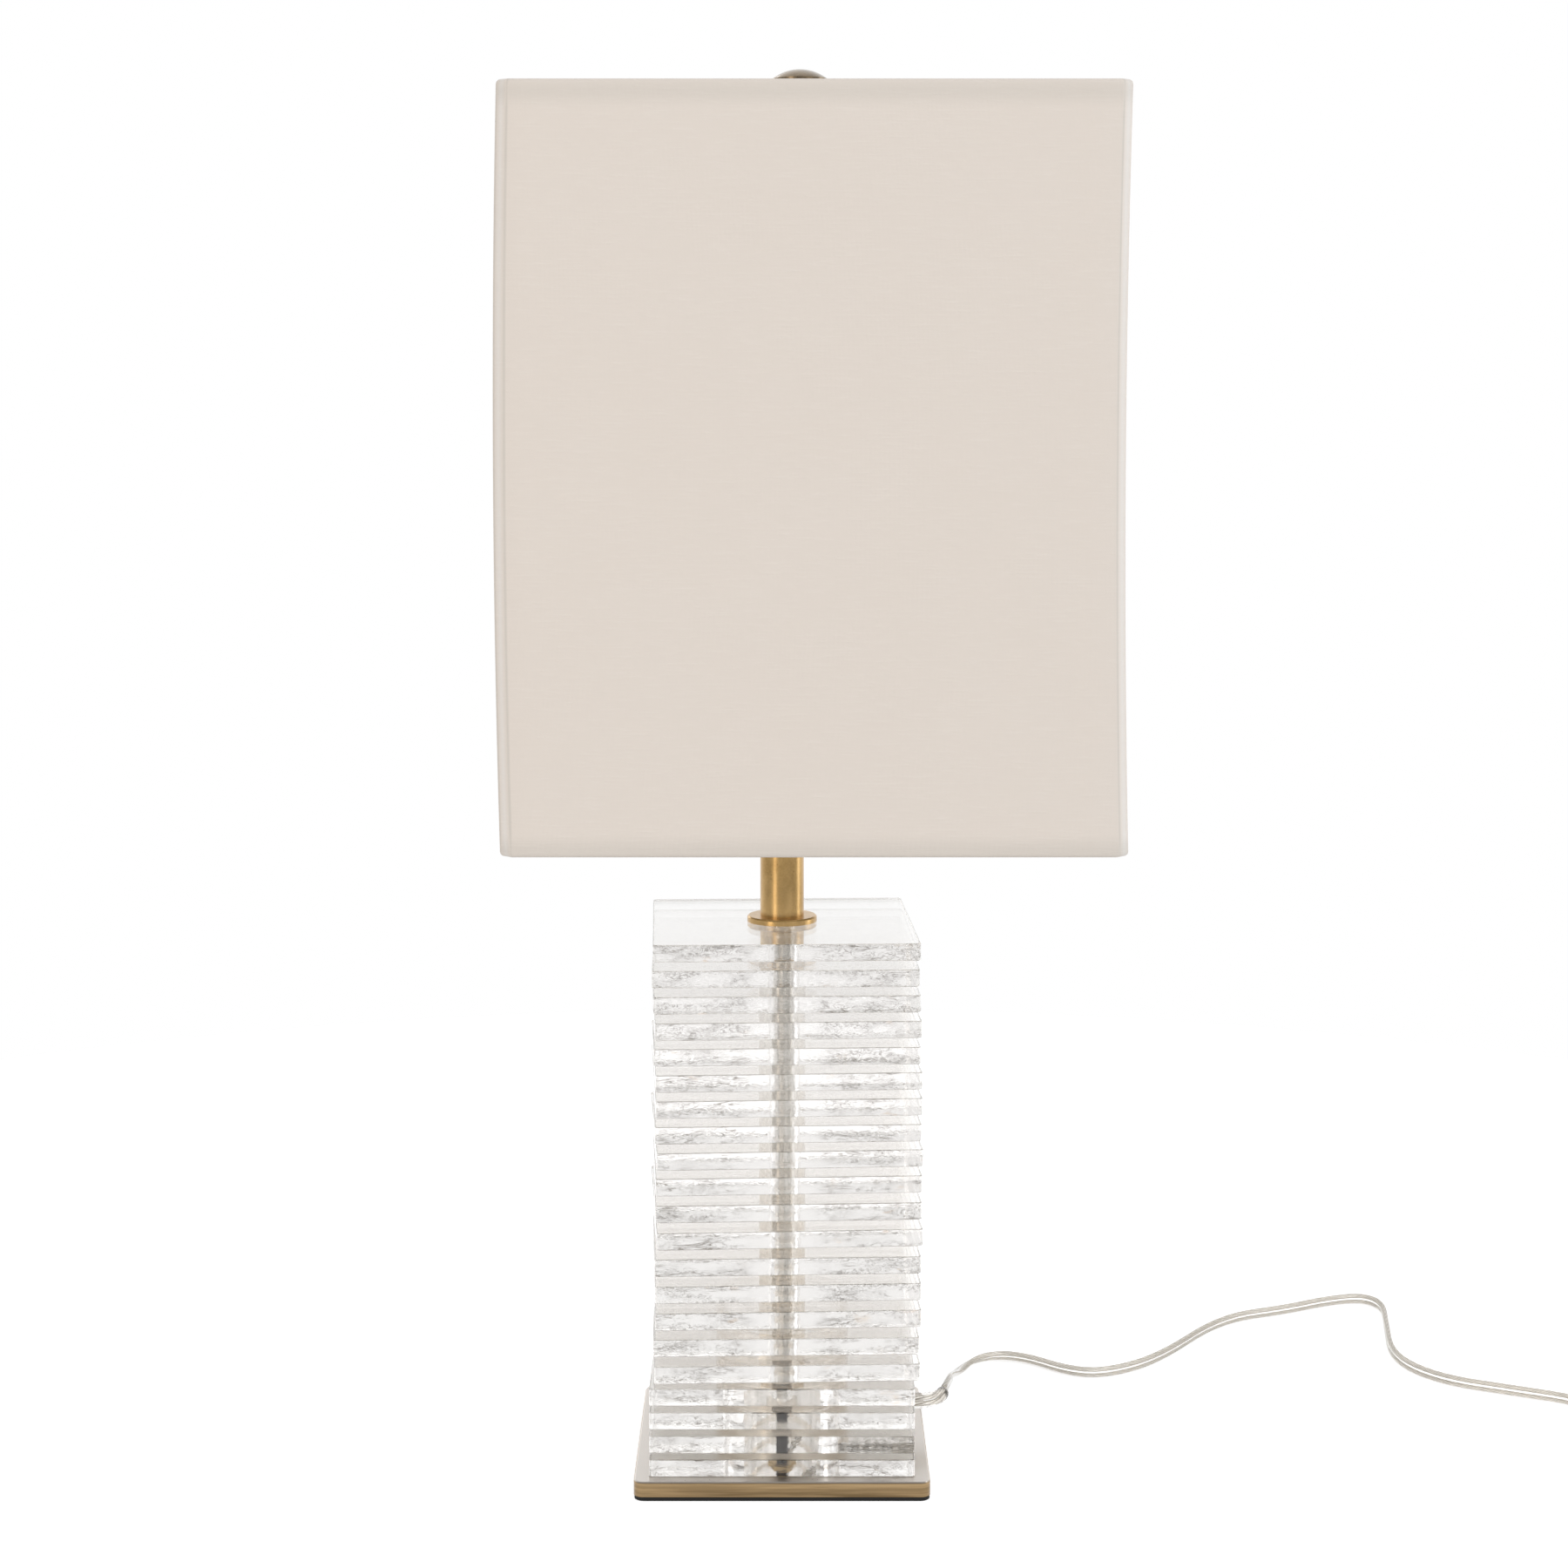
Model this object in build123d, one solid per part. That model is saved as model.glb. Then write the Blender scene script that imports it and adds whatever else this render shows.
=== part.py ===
"""Column table lamp: clear glass plates stacked on a brass base plate, under a rectangular fabric shade.

Millimetres, +Z up. The origin is under the middle of the felt pad, on the surface that the lamp stands on.
+X is to the right and +Y to the back. The cord leaves on the right.
"""
from build123d import *
import math
import os

# ---- Base ----
PAD_THICKNESS = 2.2
PAD_INSET = 2.0
BASE_MARGIN = 7.5
BASE_THICKNESS = 7.5
BASE_CORNER_RADIUS = 5.0
BASE_BEVEL = 0.8
RECESS_CLEARANCE = 1.5
ROD_END_INSET = 0.4

# ---- Glass column, counted from the top plate down ----
PLATE_COUNT = 21
CAVITY_PLATE_COUNT = 4
MIDDLE_PLATE_START = 9
PLATE_WIDTH = 132.0
PLATE_THICKNESS = 8.7
PLATE_CORNER_RADIUS = 1.6
PLATE_ARRIS = 0.4
UPPER_GAP = 4.2
MIDDLE_GAP = 4.8
LOWER_GAP = 3.2
PLATE_BORE = 16.0
CAVITY_DIAMETER = 60.0
CAVITY_RING_WALL = 4.0
CHANNEL_CLEARANCE = 0.3
CHANNEL_PLATE_INDEX = 19
PLATE_TURN = 1.8
PLATE_TURN_SWING = 1.5
PLATE_TURN_UNEVEN = 0.45
PLATE_TURN_RHYTHM = 2.3
SPACER_DIAMETER = 24.0
SPACER_CLEARANCE = 0.3

# ---- Centre rod, 1/8 IPS lamp pipe, and its fastenings ----
ROD_DIAMETER = 10.3
ROD_BORE = 7.0
ROD_HOLE_CLEARANCE = 0.3
THREAD_CLEARANCE = 0.05
NUT_ACROSS_FLATS = 19.0
NUT_THICKNESS = 3.2
NUT_CHAMFER = 0.4
WASHER_MARGIN = 1.5
WASHER_THICKNESS = 1.0
CAVITY_NUT_DROP = 1.6
CORD_SLOT_HEIGHT = 12.0
CORD_SLOT_CLEARANCE = 0.8
CORD_SLOT_DROP = 2.5

# ---- Neck ----
FLANGE_DIAMETER = 35.6
FLANGE_THICKNESS = 3.0
FLANGE_BEVEL = 0.7
NECK_DIAMETER = 22.3
NECK_WALL = 1.2
NECK_LENGTH = 101.0

# ---- Harp and its saddle ----
SADDLE_THICKNESS = 1.6
SADDLE_WIDTH = 12.0
SADDLE_FLAT = 19.0
SADDLE_RISE = 5.0
SADDLE_PAD = 4.0
HARP_FOOT_SPACING = 56.0
HARP_WIRE = 3.8
HARP_POST_HEIGHT = 8.0
HARP_FOOT_GAP = 0.3
HARP_STRAIGHT = 36.0
HARP_FLARE_HEIGHT = 50.0
HARP_SPACING = 114.0
HARP_SIDE_HEIGHT = 119.3
HARP_TAPER_HEIGHT = 82.2
HARP_TOP_SPACING = 60.0
HARP_LOWER_RADIUS = 40.0
HARP_SHOULDER_RADIUS = 60.0
HARP_TOP_RADIUS = 18.0
HARP_LEAN = 9.0
HARP_BOSS_DIAMETER = 11.0
HARP_BOSS_HEIGHT = 7.0
FERRULE_DIAMETER = 7.6
FERRULE_LENGTH = 17.4
FERRULE_CLEARANCE = 0.1
FERRULE_SEAT_GAP = 0.4
STUD_DIAMETER = 6.35
STUD_FLANGE_DIAMETER = 14.0
STUD_FLANGE_THICKNESS = 1.2
STUD_ROOT = 5.0
STUD_LENGTH = 10.6
STUD_CLEARANCE = 0.08

# ---- Socket, E26 ----
CAP_HUB_WALL = 2.35
CAP_HUB_HEIGHT = 7.5
CAP_SHOULDER_HEIGHT = 5.0
CAP_HEIGHT = 26.0
CAP_WALL = 0.7
ROD_IN_CAP = 7.0
SHELL_WALL = 0.6
SHELL_CLEARANCE = 0.1
SHELL_START = 15.0
SHELL_RISE = 6.2
SHELL_BEAD = 0.7
LINER_WALL = 0.6
LINER_INSET = 2.0
SOCKET_BODY_START = 14.0
TERMINAL_ROOM = 0.9
SOCKET_BODY_HEIGHT = 22.0
SOCKET_DISC_THICKNESS = 2.5
SCREW_SHELL_WALL = 0.5
SCREW_SHELL_CLEARANCE = 0.4
SCREW_SHELL_ROOM = 0.7
SCREW_SHELL_DROP = 1.8
CONTACT_DIAMETER = 8.0
CONTACT_THICKNESS = 1.0
TERMINAL_HEAD_DIAMETER = 6.4
TERMINAL_HEAD_THICKNESS = 1.8
TERMINAL_SHANK_DIAMETER = 3.0
TERMINAL_SHANK_LENGTH = 5.0
TERMINAL_HEIGHT = 7.0
SWITCH_HEIGHT = 30.0
SWITCH_STEM_DIAMETER = 4.0
SWITCH_STEM_ROOT = 3.0
SWITCH_HOLE_CLEARANCE = 0.7
KNOB_GAP = 1.8
KNOB_DIAMETER = 13.0
KNOB_LENGTH = 15.0
KNOB_WAIST_DIAMETER = 9.0
KNOB_BORE_DEPTH = 8.5

# ---- Bulb, A19 ----
BULB_SEAT_GAP = 0.3
BULB_TIP_DIAMETER = 9.0
BULB_TIP_HEIGHT = 1.5
BULB_CAP_DIAMETER = 26.2
BULB_CAP_CONE = 3.5
BULB_CAP_HEIGHT = 26.5
BULB_LENGTH = 110.0
BULB_DIAMETER = 60.0
BULB_NECK_STEP = 0.6
BULB_NECK_SHOW = 0.4
BULB_WALL = 1.0
BULB_SHOULDER_ANGLE = 35.0

# ---- Shade ----
SHADE_WIDTH = 302.0
SHADE_DEPTH = 203.0
SHADE_HEIGHT = 371.0
SHADE_CORNER_CUT = 5.0
SHADE_COVER_WALL = 0.5
SHADE_BACKING_WALL = 0.7
SHADE_WIRE = 3.0
SHADE_WIRE_CORNER = 8.0
SHADE_WIRE_CLEARANCE = 0.05
SHADE_OFFSET = 6.5
SPIDER_DROP = 8.3
SPIDER_HUB_DIAMETER = 20.0
SPIDER_HUB_THICKNESS = 1.6
SPIDER_HUB_CLEARANCE = 0.1
SPIDER_ARM = 2.6
SPIDER_ARM_OVERLAP = 1.0
SPIDER_ARM_STOP = 0.5

# ---- Finial ----
FINIAL_HEIGHT = 20.2
FINIAL_FOOT_DIAMETER = 14.0
FINIAL_FOOT_HEIGHT = 2.0
FINIAL_NECK_DIAMETER = 10.0
FINIAL_NECK_HEIGHT = 6.5
FINIAL_RIM_HEIGHT = 14.4
FINIAL_RIM_THICKNESS = 1.0
FINIAL_DOME_DIAMETER = 27.8
FINIAL_BORE_SPARE = 1.4

# ---- Cord ----
CORD_DIAMETER = 6.0
INNER_CORD_DIAMETER = 3.0
INNER_CORD_TURN = 20.0
INNER_CORD_RISE = 18.0
INNER_CORD_BEND = 5.0
RELIEF_START_DIAMETER = 8.4
RELIEF_LIP = 0.45
RELIEF_INSIDE = 10.0
RELIEF_COLLAR_DIAMETER = 12.0
RELIEF_COLLAR_THICKNESS = 1.5
RELIEF_COLLAR_GAP = 0.3
RELIEF_STRAIGHT = 2.5
RELIEF_BEND = 15.0
RELIEF_TURN = 78.0
CORD_FIRST_RUN = 25.0
CORD_LIFT = 0.1
CORD_FLOOR_HEIGHT = CORD_DIAMETER / 2 + CORD_LIFT
CORD_RADIUS_SHARE = 0.45

# The cord's corners after it has left the strain relief, chosen by hand: x, y, z.
CORD_ROUTE = [
    (91.6, 75.0, 14.0),
    (95.5, 112.0, CORD_FLOOR_HEIGHT),
    (110.0, 143.0, CORD_FLOOR_HEIGHT),
    (134.0, 145.0, CORD_FLOOR_HEIGHT),
    (162.0, 114.0, CORD_FLOOR_HEIGHT),
    (184.0, 116.0, CORD_FLOOR_HEIGHT),
    (213.0, 141.0, CORD_FLOOR_HEIGHT),
    (250.0, 203.0, CORD_FLOOR_HEIGHT),
    (296.0, 222.0, CORD_FLOOR_HEIGHT),
    (325.0, 245.0, CORD_FLOOR_HEIGHT),
    (342.7, 242.0, CORD_FLOOR_HEIGHT),
    (353.0, 227.0, CORD_FLOOR_HEIGHT),
    (347.0, 192.0, CORD_FLOOR_HEIGHT),
    (343.0, 140.0, CORD_FLOOR_HEIGHT),
    (362.0, 103.0, CORD_FLOOR_HEIGHT),
    (399.0, 84.0, CORD_FLOOR_HEIGHT),
]

# ---- Coil of the put-away length ----
COIL_CENTRE_X = 477.0
COIL_CENTRE_Y = 24.0
COIL_RADIUS = 42.0
COIL_HALF_TURNS_DOWN = 5
COIL_HALF_TURNS_UP = 4
COIL_TURN_GAP = 0.6
COIL_LIFT = 1.0
COIL_LEAD_IN = 6.2
COIL_LEAD_OUT = 40.0
COIL_APPROACH = 32.0
TIE_WIDTH = 6.0
TIE_THICKNESS = 0.8
TIE_CLEARANCE = 0.35

# ---- Plug, two flat blades ----
PLUG_REAR_WIDTH = 10.0
PLUG_REAR_HEIGHT = 9.0
PLUG_TAPER_LENGTH = 13.0
PLUG_WIDTH = 25.0
PLUG_LIFT = 0.3
PLUG_LENGTH = 29.0
PLUG_CORNER_RADIUS = 3.0
BLADE_SPACING = 12.7
BLADE_THICKNESS = 1.5
BLADE_LENGTH = 17.5
BLADE_ROOT = 4.0
LINE_BLADE_WIDTH = 6.35
NEUTRAL_BLADE_WIDTH = 7.94
BLADE_HOLE_DIAMETER = 3.0
BLADE_HOLE_DISTANCE = 12.0

BOTTOM = (Align.CENTER, Align.CENTER, Align.MIN)


# ---- Heights that follow from the sizes ----
def plate_gap(index):
    """The gap under a plate, counted from the top plate."""
    if index < MIDDLE_PLATE_START:
        return UPPER_GAP
    if index < PLATE_COUNT - CAVITY_PLATE_COUNT - 1:
        return MIDDLE_GAP
    return LOWER_GAP


def plate_bottom(index):
    """The height of a plate's lower face."""
    below = range(index, PLATE_COUNT - 1)
    return base_top + sum(PLATE_THICKNESS + plate_gap(i) for i in below)


def plate_turn(index):
    """Each loose plate sits turned a little on the rod, and the cavity plates lie square."""
    loose_plates = PLATE_COUNT - CAVITY_PLATE_COUNT
    if index >= loose_plates:
        return 0.0
    swing = PLATE_TURN_SWING * math.sin(math.pi * index / loose_plates)
    return PLATE_TURN + swing + PLATE_TURN_UNEVEN * math.cos(PLATE_TURN_RHYTHM * index)


base_width = PLATE_WIDTH + 2 * BASE_MARGIN
base_top = PAD_THICKNESS + BASE_THICKNESS
first_cavity_plate = PLATE_COUNT - CAVITY_PLATE_COUNT
column_top = plate_bottom(0) + PLATE_THICKNESS
neck_bottom = column_top + FLANGE_THICKNESS
neck_top = neck_bottom + NECK_LENGTH
cap_bottom = neck_top + SADDLE_THICKNESS
rod_bottom = PAD_THICKNESS + ROD_END_INSET
rod_top = cap_bottom + ROD_IN_CAP
rod_hole = ROD_DIAMETER + 2 * ROD_HOLE_CLEARANCE
rod_thread = ROD_DIAMETER + 2 * THREAD_CLEARANCE
nut_corners = NUT_ACROSS_FLATS / math.cos(math.radians(30))
washer_diameter = nut_corners + 2 * WASHER_MARGIN
cord_height = plate_bottom(CHANNEL_PLATE_INDEX) + PLATE_THICKNESS / 2
inner_cord_knee = cord_height + INNER_CORD_RISE
saddle_pad_top = cap_bottom + SADDLE_RISE
harp_foot = saddle_pad_top + HARP_POST_HEIGHT + HARP_FOOT_GAP
harp_top = harp_foot + HARP_STRAIGHT + HARP_FLARE_HEIGHT + HARP_SIDE_HEIGHT + HARP_TAPER_HEIGHT
boss_top = harp_top + HARP_WIRE / 2 + (HARP_BOSS_HEIGHT - HARP_WIRE) / 2
hub_bottom = boss_top + STUD_FLANGE_THICKNESS
shade_top = hub_bottom + SPIDER_DROP
shade_centre = HARP_LEAN + SHADE_OFFSET
shade_bottom = shade_top - SHADE_HEIGHT
finial_bottom = hub_bottom + SPIDER_HUB_THICKNESS
screw_shell_bore = BULB_CAP_DIAMETER + 2 * SCREW_SHELL_CLEARANCE
screw_shell_radius = screw_shell_bore / 2 + SCREW_SHELL_WALL
liner_bore_radius = screw_shell_radius + SCREW_SHELL_ROOM
liner_radius = liner_bore_radius + LINER_WALL
shell_radius = liner_radius + SHELL_CLEARANCE + SHELL_WALL
cap_radius = shell_radius + SHELL_CLEARANCE + CAP_WALL
socket_body_radius = liner_bore_radius - TERMINAL_ROOM - TERMINAL_HEAD_THICKNESS
socket_body_top = cap_bottom + SOCKET_BODY_START + SOCKET_BODY_HEIGHT
contact_top = socket_body_top + CONTACT_THICKNESS
bulb_bottom = contact_top + BULB_SEAT_GAP
bulb_cap_top = bulb_bottom + BULB_CAP_HEIGHT
screw_shell_height = bulb_cap_top - SCREW_SHELL_DROP - socket_body_top
shell_bottom = cap_bottom + SHELL_START
shell_top = bulb_cap_top + SHELL_RISE
bulb_neck_length = SHELL_RISE + BULB_NECK_SHOW
switch_height = cap_bottom + SWITCH_HEIGHT
knob_start = cap_radius + KNOB_GAP


# ---- Helpers ----
def disc(diameter, height, z):
    """An upright disc or cylinder whose lower face is at z."""
    return Pos(0, 0, z) * Cylinder(diameter / 2, height, align=BOTTOM)


def ring(outer, inner, height, z):
    """An upright ring or tube whose lower face is at z."""
    return disc(outer, height, z) - disc(inner, height, z)


def turned(profile, z=0.0):
    """A solid turned about the lamp's axis from radius and height pairs."""
    points = [Vector(r, 0, h + z) for r, h in profile]
    return revolve(make_face(Polyline(*points, close=True)), Axis.Z)


def hex_nut(z):
    """A thin hexagonal nut on the rod."""
    outline = RegularPolygon(NUT_ACROSS_FLATS / 2, 6, major_radius=False)
    blank = Pos(0, 0, z) * extrude(outline, NUT_THICKNESS)
    corners = blank.edges().filter_by(Plane.XY)
    blank = chamfer(corners, NUT_CHAMFER)
    return blank - disc(rod_thread, NUT_THICKNESS, z)


def tube_along(path, diameter):
    """A round tube swept along a path of runs and arcs."""
    section = Plane(origin=path @ 0, z_dir=path % 0) * Circle(diameter / 2)
    return sweep(section, path=path)


def save(name, *solids):
    """Writes one node: one solid, or a group of separate solids."""
    shape = solids[0] if len(solids) == 1 else Compound(children=list(solids))
    if len(solids) == 1 and len(shape.solids()) == 1:
        shape = shape.solids()[0]
    shape.label = name
    export_step(shape, f"parts/{name}.step")


# ---- Base ----
def felt_pad():
    width = base_width - 2 * PAD_INSET
    outline = RectangleRounded(width, width, BASE_CORNER_RADIUS)
    return extrude(outline, PAD_THICKNESS)


def base_plate():
    outline = RectangleRounded(base_width, base_width, BASE_CORNER_RADIUS)
    plate = Pos(0, 0, PAD_THICKNESS) * extrude(outline, BASE_THICKNESS)
    plate = chamfer(plate.edges().group_by(Axis.Z)[-1], BASE_BEVEL)
    plate -= disc(rod_hole, BASE_THICKNESS, PAD_THICKNESS)
    recess_depth = ROD_END_INSET + NUT_THICKNESS + WASHER_THICKNESS
    return plate - disc(washer_diameter + 2 * RECESS_CLEARANCE, recess_depth, PAD_THICKNESS)


def base_washer():
    return ring(washer_diameter, rod_hole, WASHER_THICKNESS, rod_bottom + NUT_THICKNESS)


def rod_nuts():
    cavity_nut = plate_bottom(CHANNEL_PLATE_INDEX) - CAVITY_NUT_DROP
    return [hex_nut(rod_bottom), hex_nut(cavity_nut)]


# ---- Glass column ----
def glass_plate(index):
    """A polished plate with its bore, or one of the lowest with the wide cavity for the rod's fastenings."""
    outline = RectangleRounded(PLATE_WIDTH, PLATE_WIDTH, PLATE_CORNER_RADIUS)
    plate = extrude(outline, PLATE_THICKNESS)
    levels = plate.edges().group_by(Axis.Z)
    plate = chamfer(levels[0] + levels[-1], PLATE_ARRIS)
    hole = CAVITY_DIAMETER if index >= first_cavity_plate else PLATE_BORE
    plate -= disc(hole, PLATE_THICKNESS, 0)
    if index == CHANNEL_PLATE_INDEX:
        start = (Align.MIN, Align.CENTER, Align.MIN)
        channel = RELIEF_START_DIAMETER + 2 * CHANNEL_CLEARANCE
        plate -= Box(PLATE_WIDTH, channel, PLATE_THICKNESS, align=start)
    return Pos(0, 0, plate_bottom(index)) * Rot(0, 0, plate_turn(index)) * plate


def plate_spacer(index):
    """A clear washer on the rod that holds the plate above it off the plate below."""
    gap = plate_gap(index)
    bore = ROD_DIAMETER + 2 * SPACER_CLEARANCE
    return ring(SPACER_DIAMETER, bore, gap, plate_bottom(index) - gap)


def cavity_ring(index):
    """A clear ring round the mouth of the cavity, under the plate of this index."""
    gap = plate_gap(index)
    outer = CAVITY_DIAMETER + 2 * CAVITY_RING_WALL
    return ring(outer, CAVITY_DIAMETER, gap, plate_bottom(index) - gap)


# ---- Rod and neck ----
def centre_rod():
    """The threaded pipe that clamps the stack, with a slot where the cord goes in."""
    rod = ring(ROD_DIAMETER, ROD_BORE, rod_top - rod_bottom, rod_bottom)
    width = INNER_CORD_DIAMETER + 2 * CORD_SLOT_CLEARANCE
    side = (Align.MIN, Align.CENTER, Align.CENTER)
    slot = Box(ROD_DIAMETER, width, CORD_SLOT_HEIGHT, align=side)
    slot = Pos(0, 0, inner_cord_knee - CORD_SLOT_DROP) * slot
    return rod - slot


def neck_flange():
    flange = disc(FLANGE_DIAMETER, FLANGE_THICKNESS, column_top)
    flange = chamfer(flange.edges().group_by(Axis.Z)[-1], FLANGE_BEVEL)
    return flange - disc(rod_hole, FLANGE_THICKNESS, column_top)


def neck_tube():
    return ring(NECK_DIAMETER, NECK_DIAMETER - 2 * NECK_WALL, NECK_LENGTH, neck_bottom)


# ---- Harp ----
def harp_saddle():
    """A bent strap clamped on top of the neck, with a post at each end for the harp's feet."""
    foot = HARP_FOOT_SPACING / 2
    low = [
        (-foot - SADDLE_PAD, SADDLE_RISE),
        (-foot + SADDLE_PAD, SADDLE_RISE),
        (-SADDLE_FLAT, 0),
        (SADDLE_FLAT, 0),
        (foot - SADDLE_PAD, SADDLE_RISE),
        (foot + SADDLE_PAD, SADDLE_RISE),
    ]
    high = [(x, h + SADDLE_THICKNESS) for x, h in reversed(low)]
    points = [Vector(x, 0, neck_top + h) for x, h in low + high]
    strap = extrude(make_face(Polyline(*points, close=True)), SADDLE_WIDTH / 2, both=True)
    strap -= disc(rod_hole, SADDLE_THICKNESS, neck_top)
    for side in (-1, 1):
        post = disc(HARP_WIRE, HARP_POST_HEIGHT, saddle_pad_top)
        strap += Pos(side * foot, 0, 0) * post
    return strap


def harp_side(side):
    """The corners of one side of the harp, from the foot up. Above its straight legs the harp leans right."""
    straight_end = harp_foot + HARP_STRAIGHT
    side_start = straight_end + HARP_FLARE_HEIGHT
    side_end = side_start + HARP_SIDE_HEIGHT
    corners = [
        (HARP_FOOT_SPACING, straight_end),
        (HARP_SPACING, side_start),
        (HARP_SPACING, side_end),
        (HARP_TOP_SPACING, harp_top),
    ]
    lean = HARP_LEAN / (harp_top - straight_end)
    points = [Vector(side * HARP_FOOT_SPACING / 2, 0, harp_foot)]
    for spacing, z in corners:
        points.append(Vector(side * spacing / 2 + lean * (z - straight_end), 0, z))
    return points


def harp():
    """One bent wire with a round boss at the top for the stud."""
    bends = [HARP_LOWER_RADIUS, HARP_SHOULDER_RADIUS, HARP_SHOULDER_RADIUS, HARP_TOP_RADIUS]
    path = FilletPolyline(*harp_side(1), *harp_side(-1)[::-1], radius=bends + bends[::-1])
    boss = disc(HARP_BOSS_DIAMETER, HARP_BOSS_HEIGHT, boss_top - HARP_BOSS_HEIGHT)
    root = disc(STUD_DIAMETER, STUD_ROOT, boss_top - STUD_ROOT)
    at_top = Pos(HARP_LEAN, 0, 0)
    return tube_along(path, HARP_WIRE) + at_top * boss - at_top * root


def harp_stud():
    """The threaded stud on the harp, with the flange that the shade rests on."""
    stud = disc(STUD_DIAMETER, STUD_ROOT + STUD_FLANGE_THICKNESS + STUD_LENGTH, boss_top - STUD_ROOT)
    return Pos(HARP_LEAN, 0, 0) * (stud + disc(STUD_FLANGE_DIAMETER, STUD_FLANGE_THICKNESS, boss_top))


def ferrule(side):
    """A sleeve that slides down over a harp foot and its post."""
    z = saddle_pad_top + FERRULE_SEAT_GAP
    sleeve = ring(FERRULE_DIAMETER, HARP_WIRE + 2 * FERRULE_CLEARANCE, FERRULE_LENGTH, z)
    return Pos(side * HARP_FOOT_SPACING / 2, 0, 0) * sleeve


# ---- Socket ----
def socket_cap():
    """The brass cup under the socket, threaded on the rod."""
    bore = rod_thread / 2
    hub = bore + CAP_HUB_WALL
    outer = cap_radius
    shoulder = CAP_HUB_HEIGHT + CAP_SHOULDER_HEIGHT
    profile = [
        (bore, 0),
        (hub, 0),
        (hub, CAP_HUB_HEIGHT - CAP_WALL),
        (outer, shoulder),
        (outer, CAP_HEIGHT),
        (outer - CAP_WALL, CAP_HEIGHT),
        (outer - CAP_WALL, shoulder),
        (hub, CAP_HUB_HEIGHT),
        (bore, CAP_HUB_HEIGHT),
    ]
    return turned(profile, cap_bottom)


def switch_hole():
    """The way through the socket's walls for the switch stem."""
    radius = SWITCH_STEM_DIAMETER / 2 + SWITCH_HOLE_CLEARANCE
    side = Plane(origin=(0, 0, switch_height), z_dir=(0, -1, 0))
    return side * Cylinder(radius, 2 * cap_radius, align=BOTTOM)


def socket_shell():
    """The brass tube round the socket, with a bead at its mouth."""
    inner = 2 * (shell_radius - SHELL_WALL)
    bead = 2 * SHELL_BEAD
    shell = ring(2 * shell_radius, inner, shell_top - shell_bottom, shell_bottom)
    shell += ring(2 * shell_radius + bead, inner, bead, shell_top - bead)
    return shell - switch_hole()


def socket_liner():
    """The card tube that insulates the shell."""
    length = shell_top - shell_bottom - 2 * LINER_INSET
    tube = ring(2 * liner_radius, 2 * liner_bore_radius, length, shell_bottom + LINER_INSET)
    return tube - switch_hole()


def switch_axis(distance):
    """The switch's axis from a distance in front of the lamp's axis, towards the knob."""
    return Plane(origin=(0, -distance, switch_height), z_dir=(0, -1, 0))


def switch_stem_start():
    return socket_body_radius - SWITCH_STEM_ROOT


def socket_body():
    """The moulded block that holds the switch, the terminals and the screw shell."""
    body = disc(2 * socket_body_radius, SOCKET_BODY_HEIGHT, cap_bottom + SOCKET_BODY_START)
    disc_diameter = 2 * (liner_bore_radius - SHELL_CLEARANCE)
    body += disc(disc_diameter, SOCKET_DISC_THICKNESS, socket_body_top - SOCKET_DISC_THICKNESS)
    stem_radius = SWITCH_STEM_DIAMETER / 2 + THREAD_CLEARANCE
    body -= switch_axis(switch_stem_start()) * Cylinder(stem_radius, cap_radius, align=BOTTOM)
    for screw in terminal_screws():
        body -= screw
    return body


def terminal_screws():
    """Two screws, one on each side of the socket body."""
    screws = []
    z = cap_bottom + SOCKET_BODY_START + TERMINAL_HEIGHT
    for side in (-1, 1):
        seat = (side * socket_body_radius, 0, z)
        head = Cylinder(TERMINAL_HEAD_DIAMETER / 2, TERMINAL_HEAD_THICKNESS, align=BOTTOM)
        shank = Cylinder(TERMINAL_SHANK_DIAMETER / 2, TERMINAL_SHANK_LENGTH, align=BOTTOM)
        screw = Plane(origin=seat, z_dir=(side, 0, 0)) * head
        screws.append(screw + Plane(origin=seat, z_dir=(-side, 0, 0)) * shank)
    return screws


def screw_shell():
    return ring(2 * screw_shell_radius, screw_shell_bore, screw_shell_height, socket_body_top)


def centre_contact():
    return disc(CONTACT_DIAMETER, CONTACT_THICKNESS, socket_body_top)


def switch_stem():
    start = switch_stem_start()
    length = knob_start + KNOB_BORE_DEPTH - start
    return switch_axis(start) * Cylinder(SWITCH_STEM_DIAMETER / 2, length, align=BOTTOM)


def switch_knob():
    """A turned knob, waisted where it meets the socket."""
    waist = KNOB_WAIST_DIAMETER / 2
    outer = KNOB_DIAMETER / 2
    profile = [
        (0, 0),
        (waist, 0),
        (waist, KNOB_LENGTH / 5),
        (outer, KNOB_LENGTH / 2),
        (outer, KNOB_LENGTH - KNOB_LENGTH / 10),
        (outer - KNOB_LENGTH / 10, KNOB_LENGTH),
        (0, KNOB_LENGTH),
    ]
    bore = Cylinder(SWITCH_STEM_DIAMETER / 2, KNOB_BORE_DEPTH, align=BOTTOM)
    return switch_axis(knob_start) * (turned(profile) - bore)


# ---- Bulb ----
def bulb_cap():
    """The metal screw cap, with its centre tip."""
    tip = BULB_TIP_DIAMETER / 2
    outer = BULB_CAP_DIAMETER / 2
    profile = [
        (0, 0),
        (tip, 0),
        (tip, BULB_TIP_HEIGHT),
        (outer, BULB_TIP_HEIGHT + BULB_CAP_CONE),
        (outer, BULB_CAP_HEIGHT),
        (0, BULB_CAP_HEIGHT),
    ]
    return turned(profile, bulb_bottom)


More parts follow.
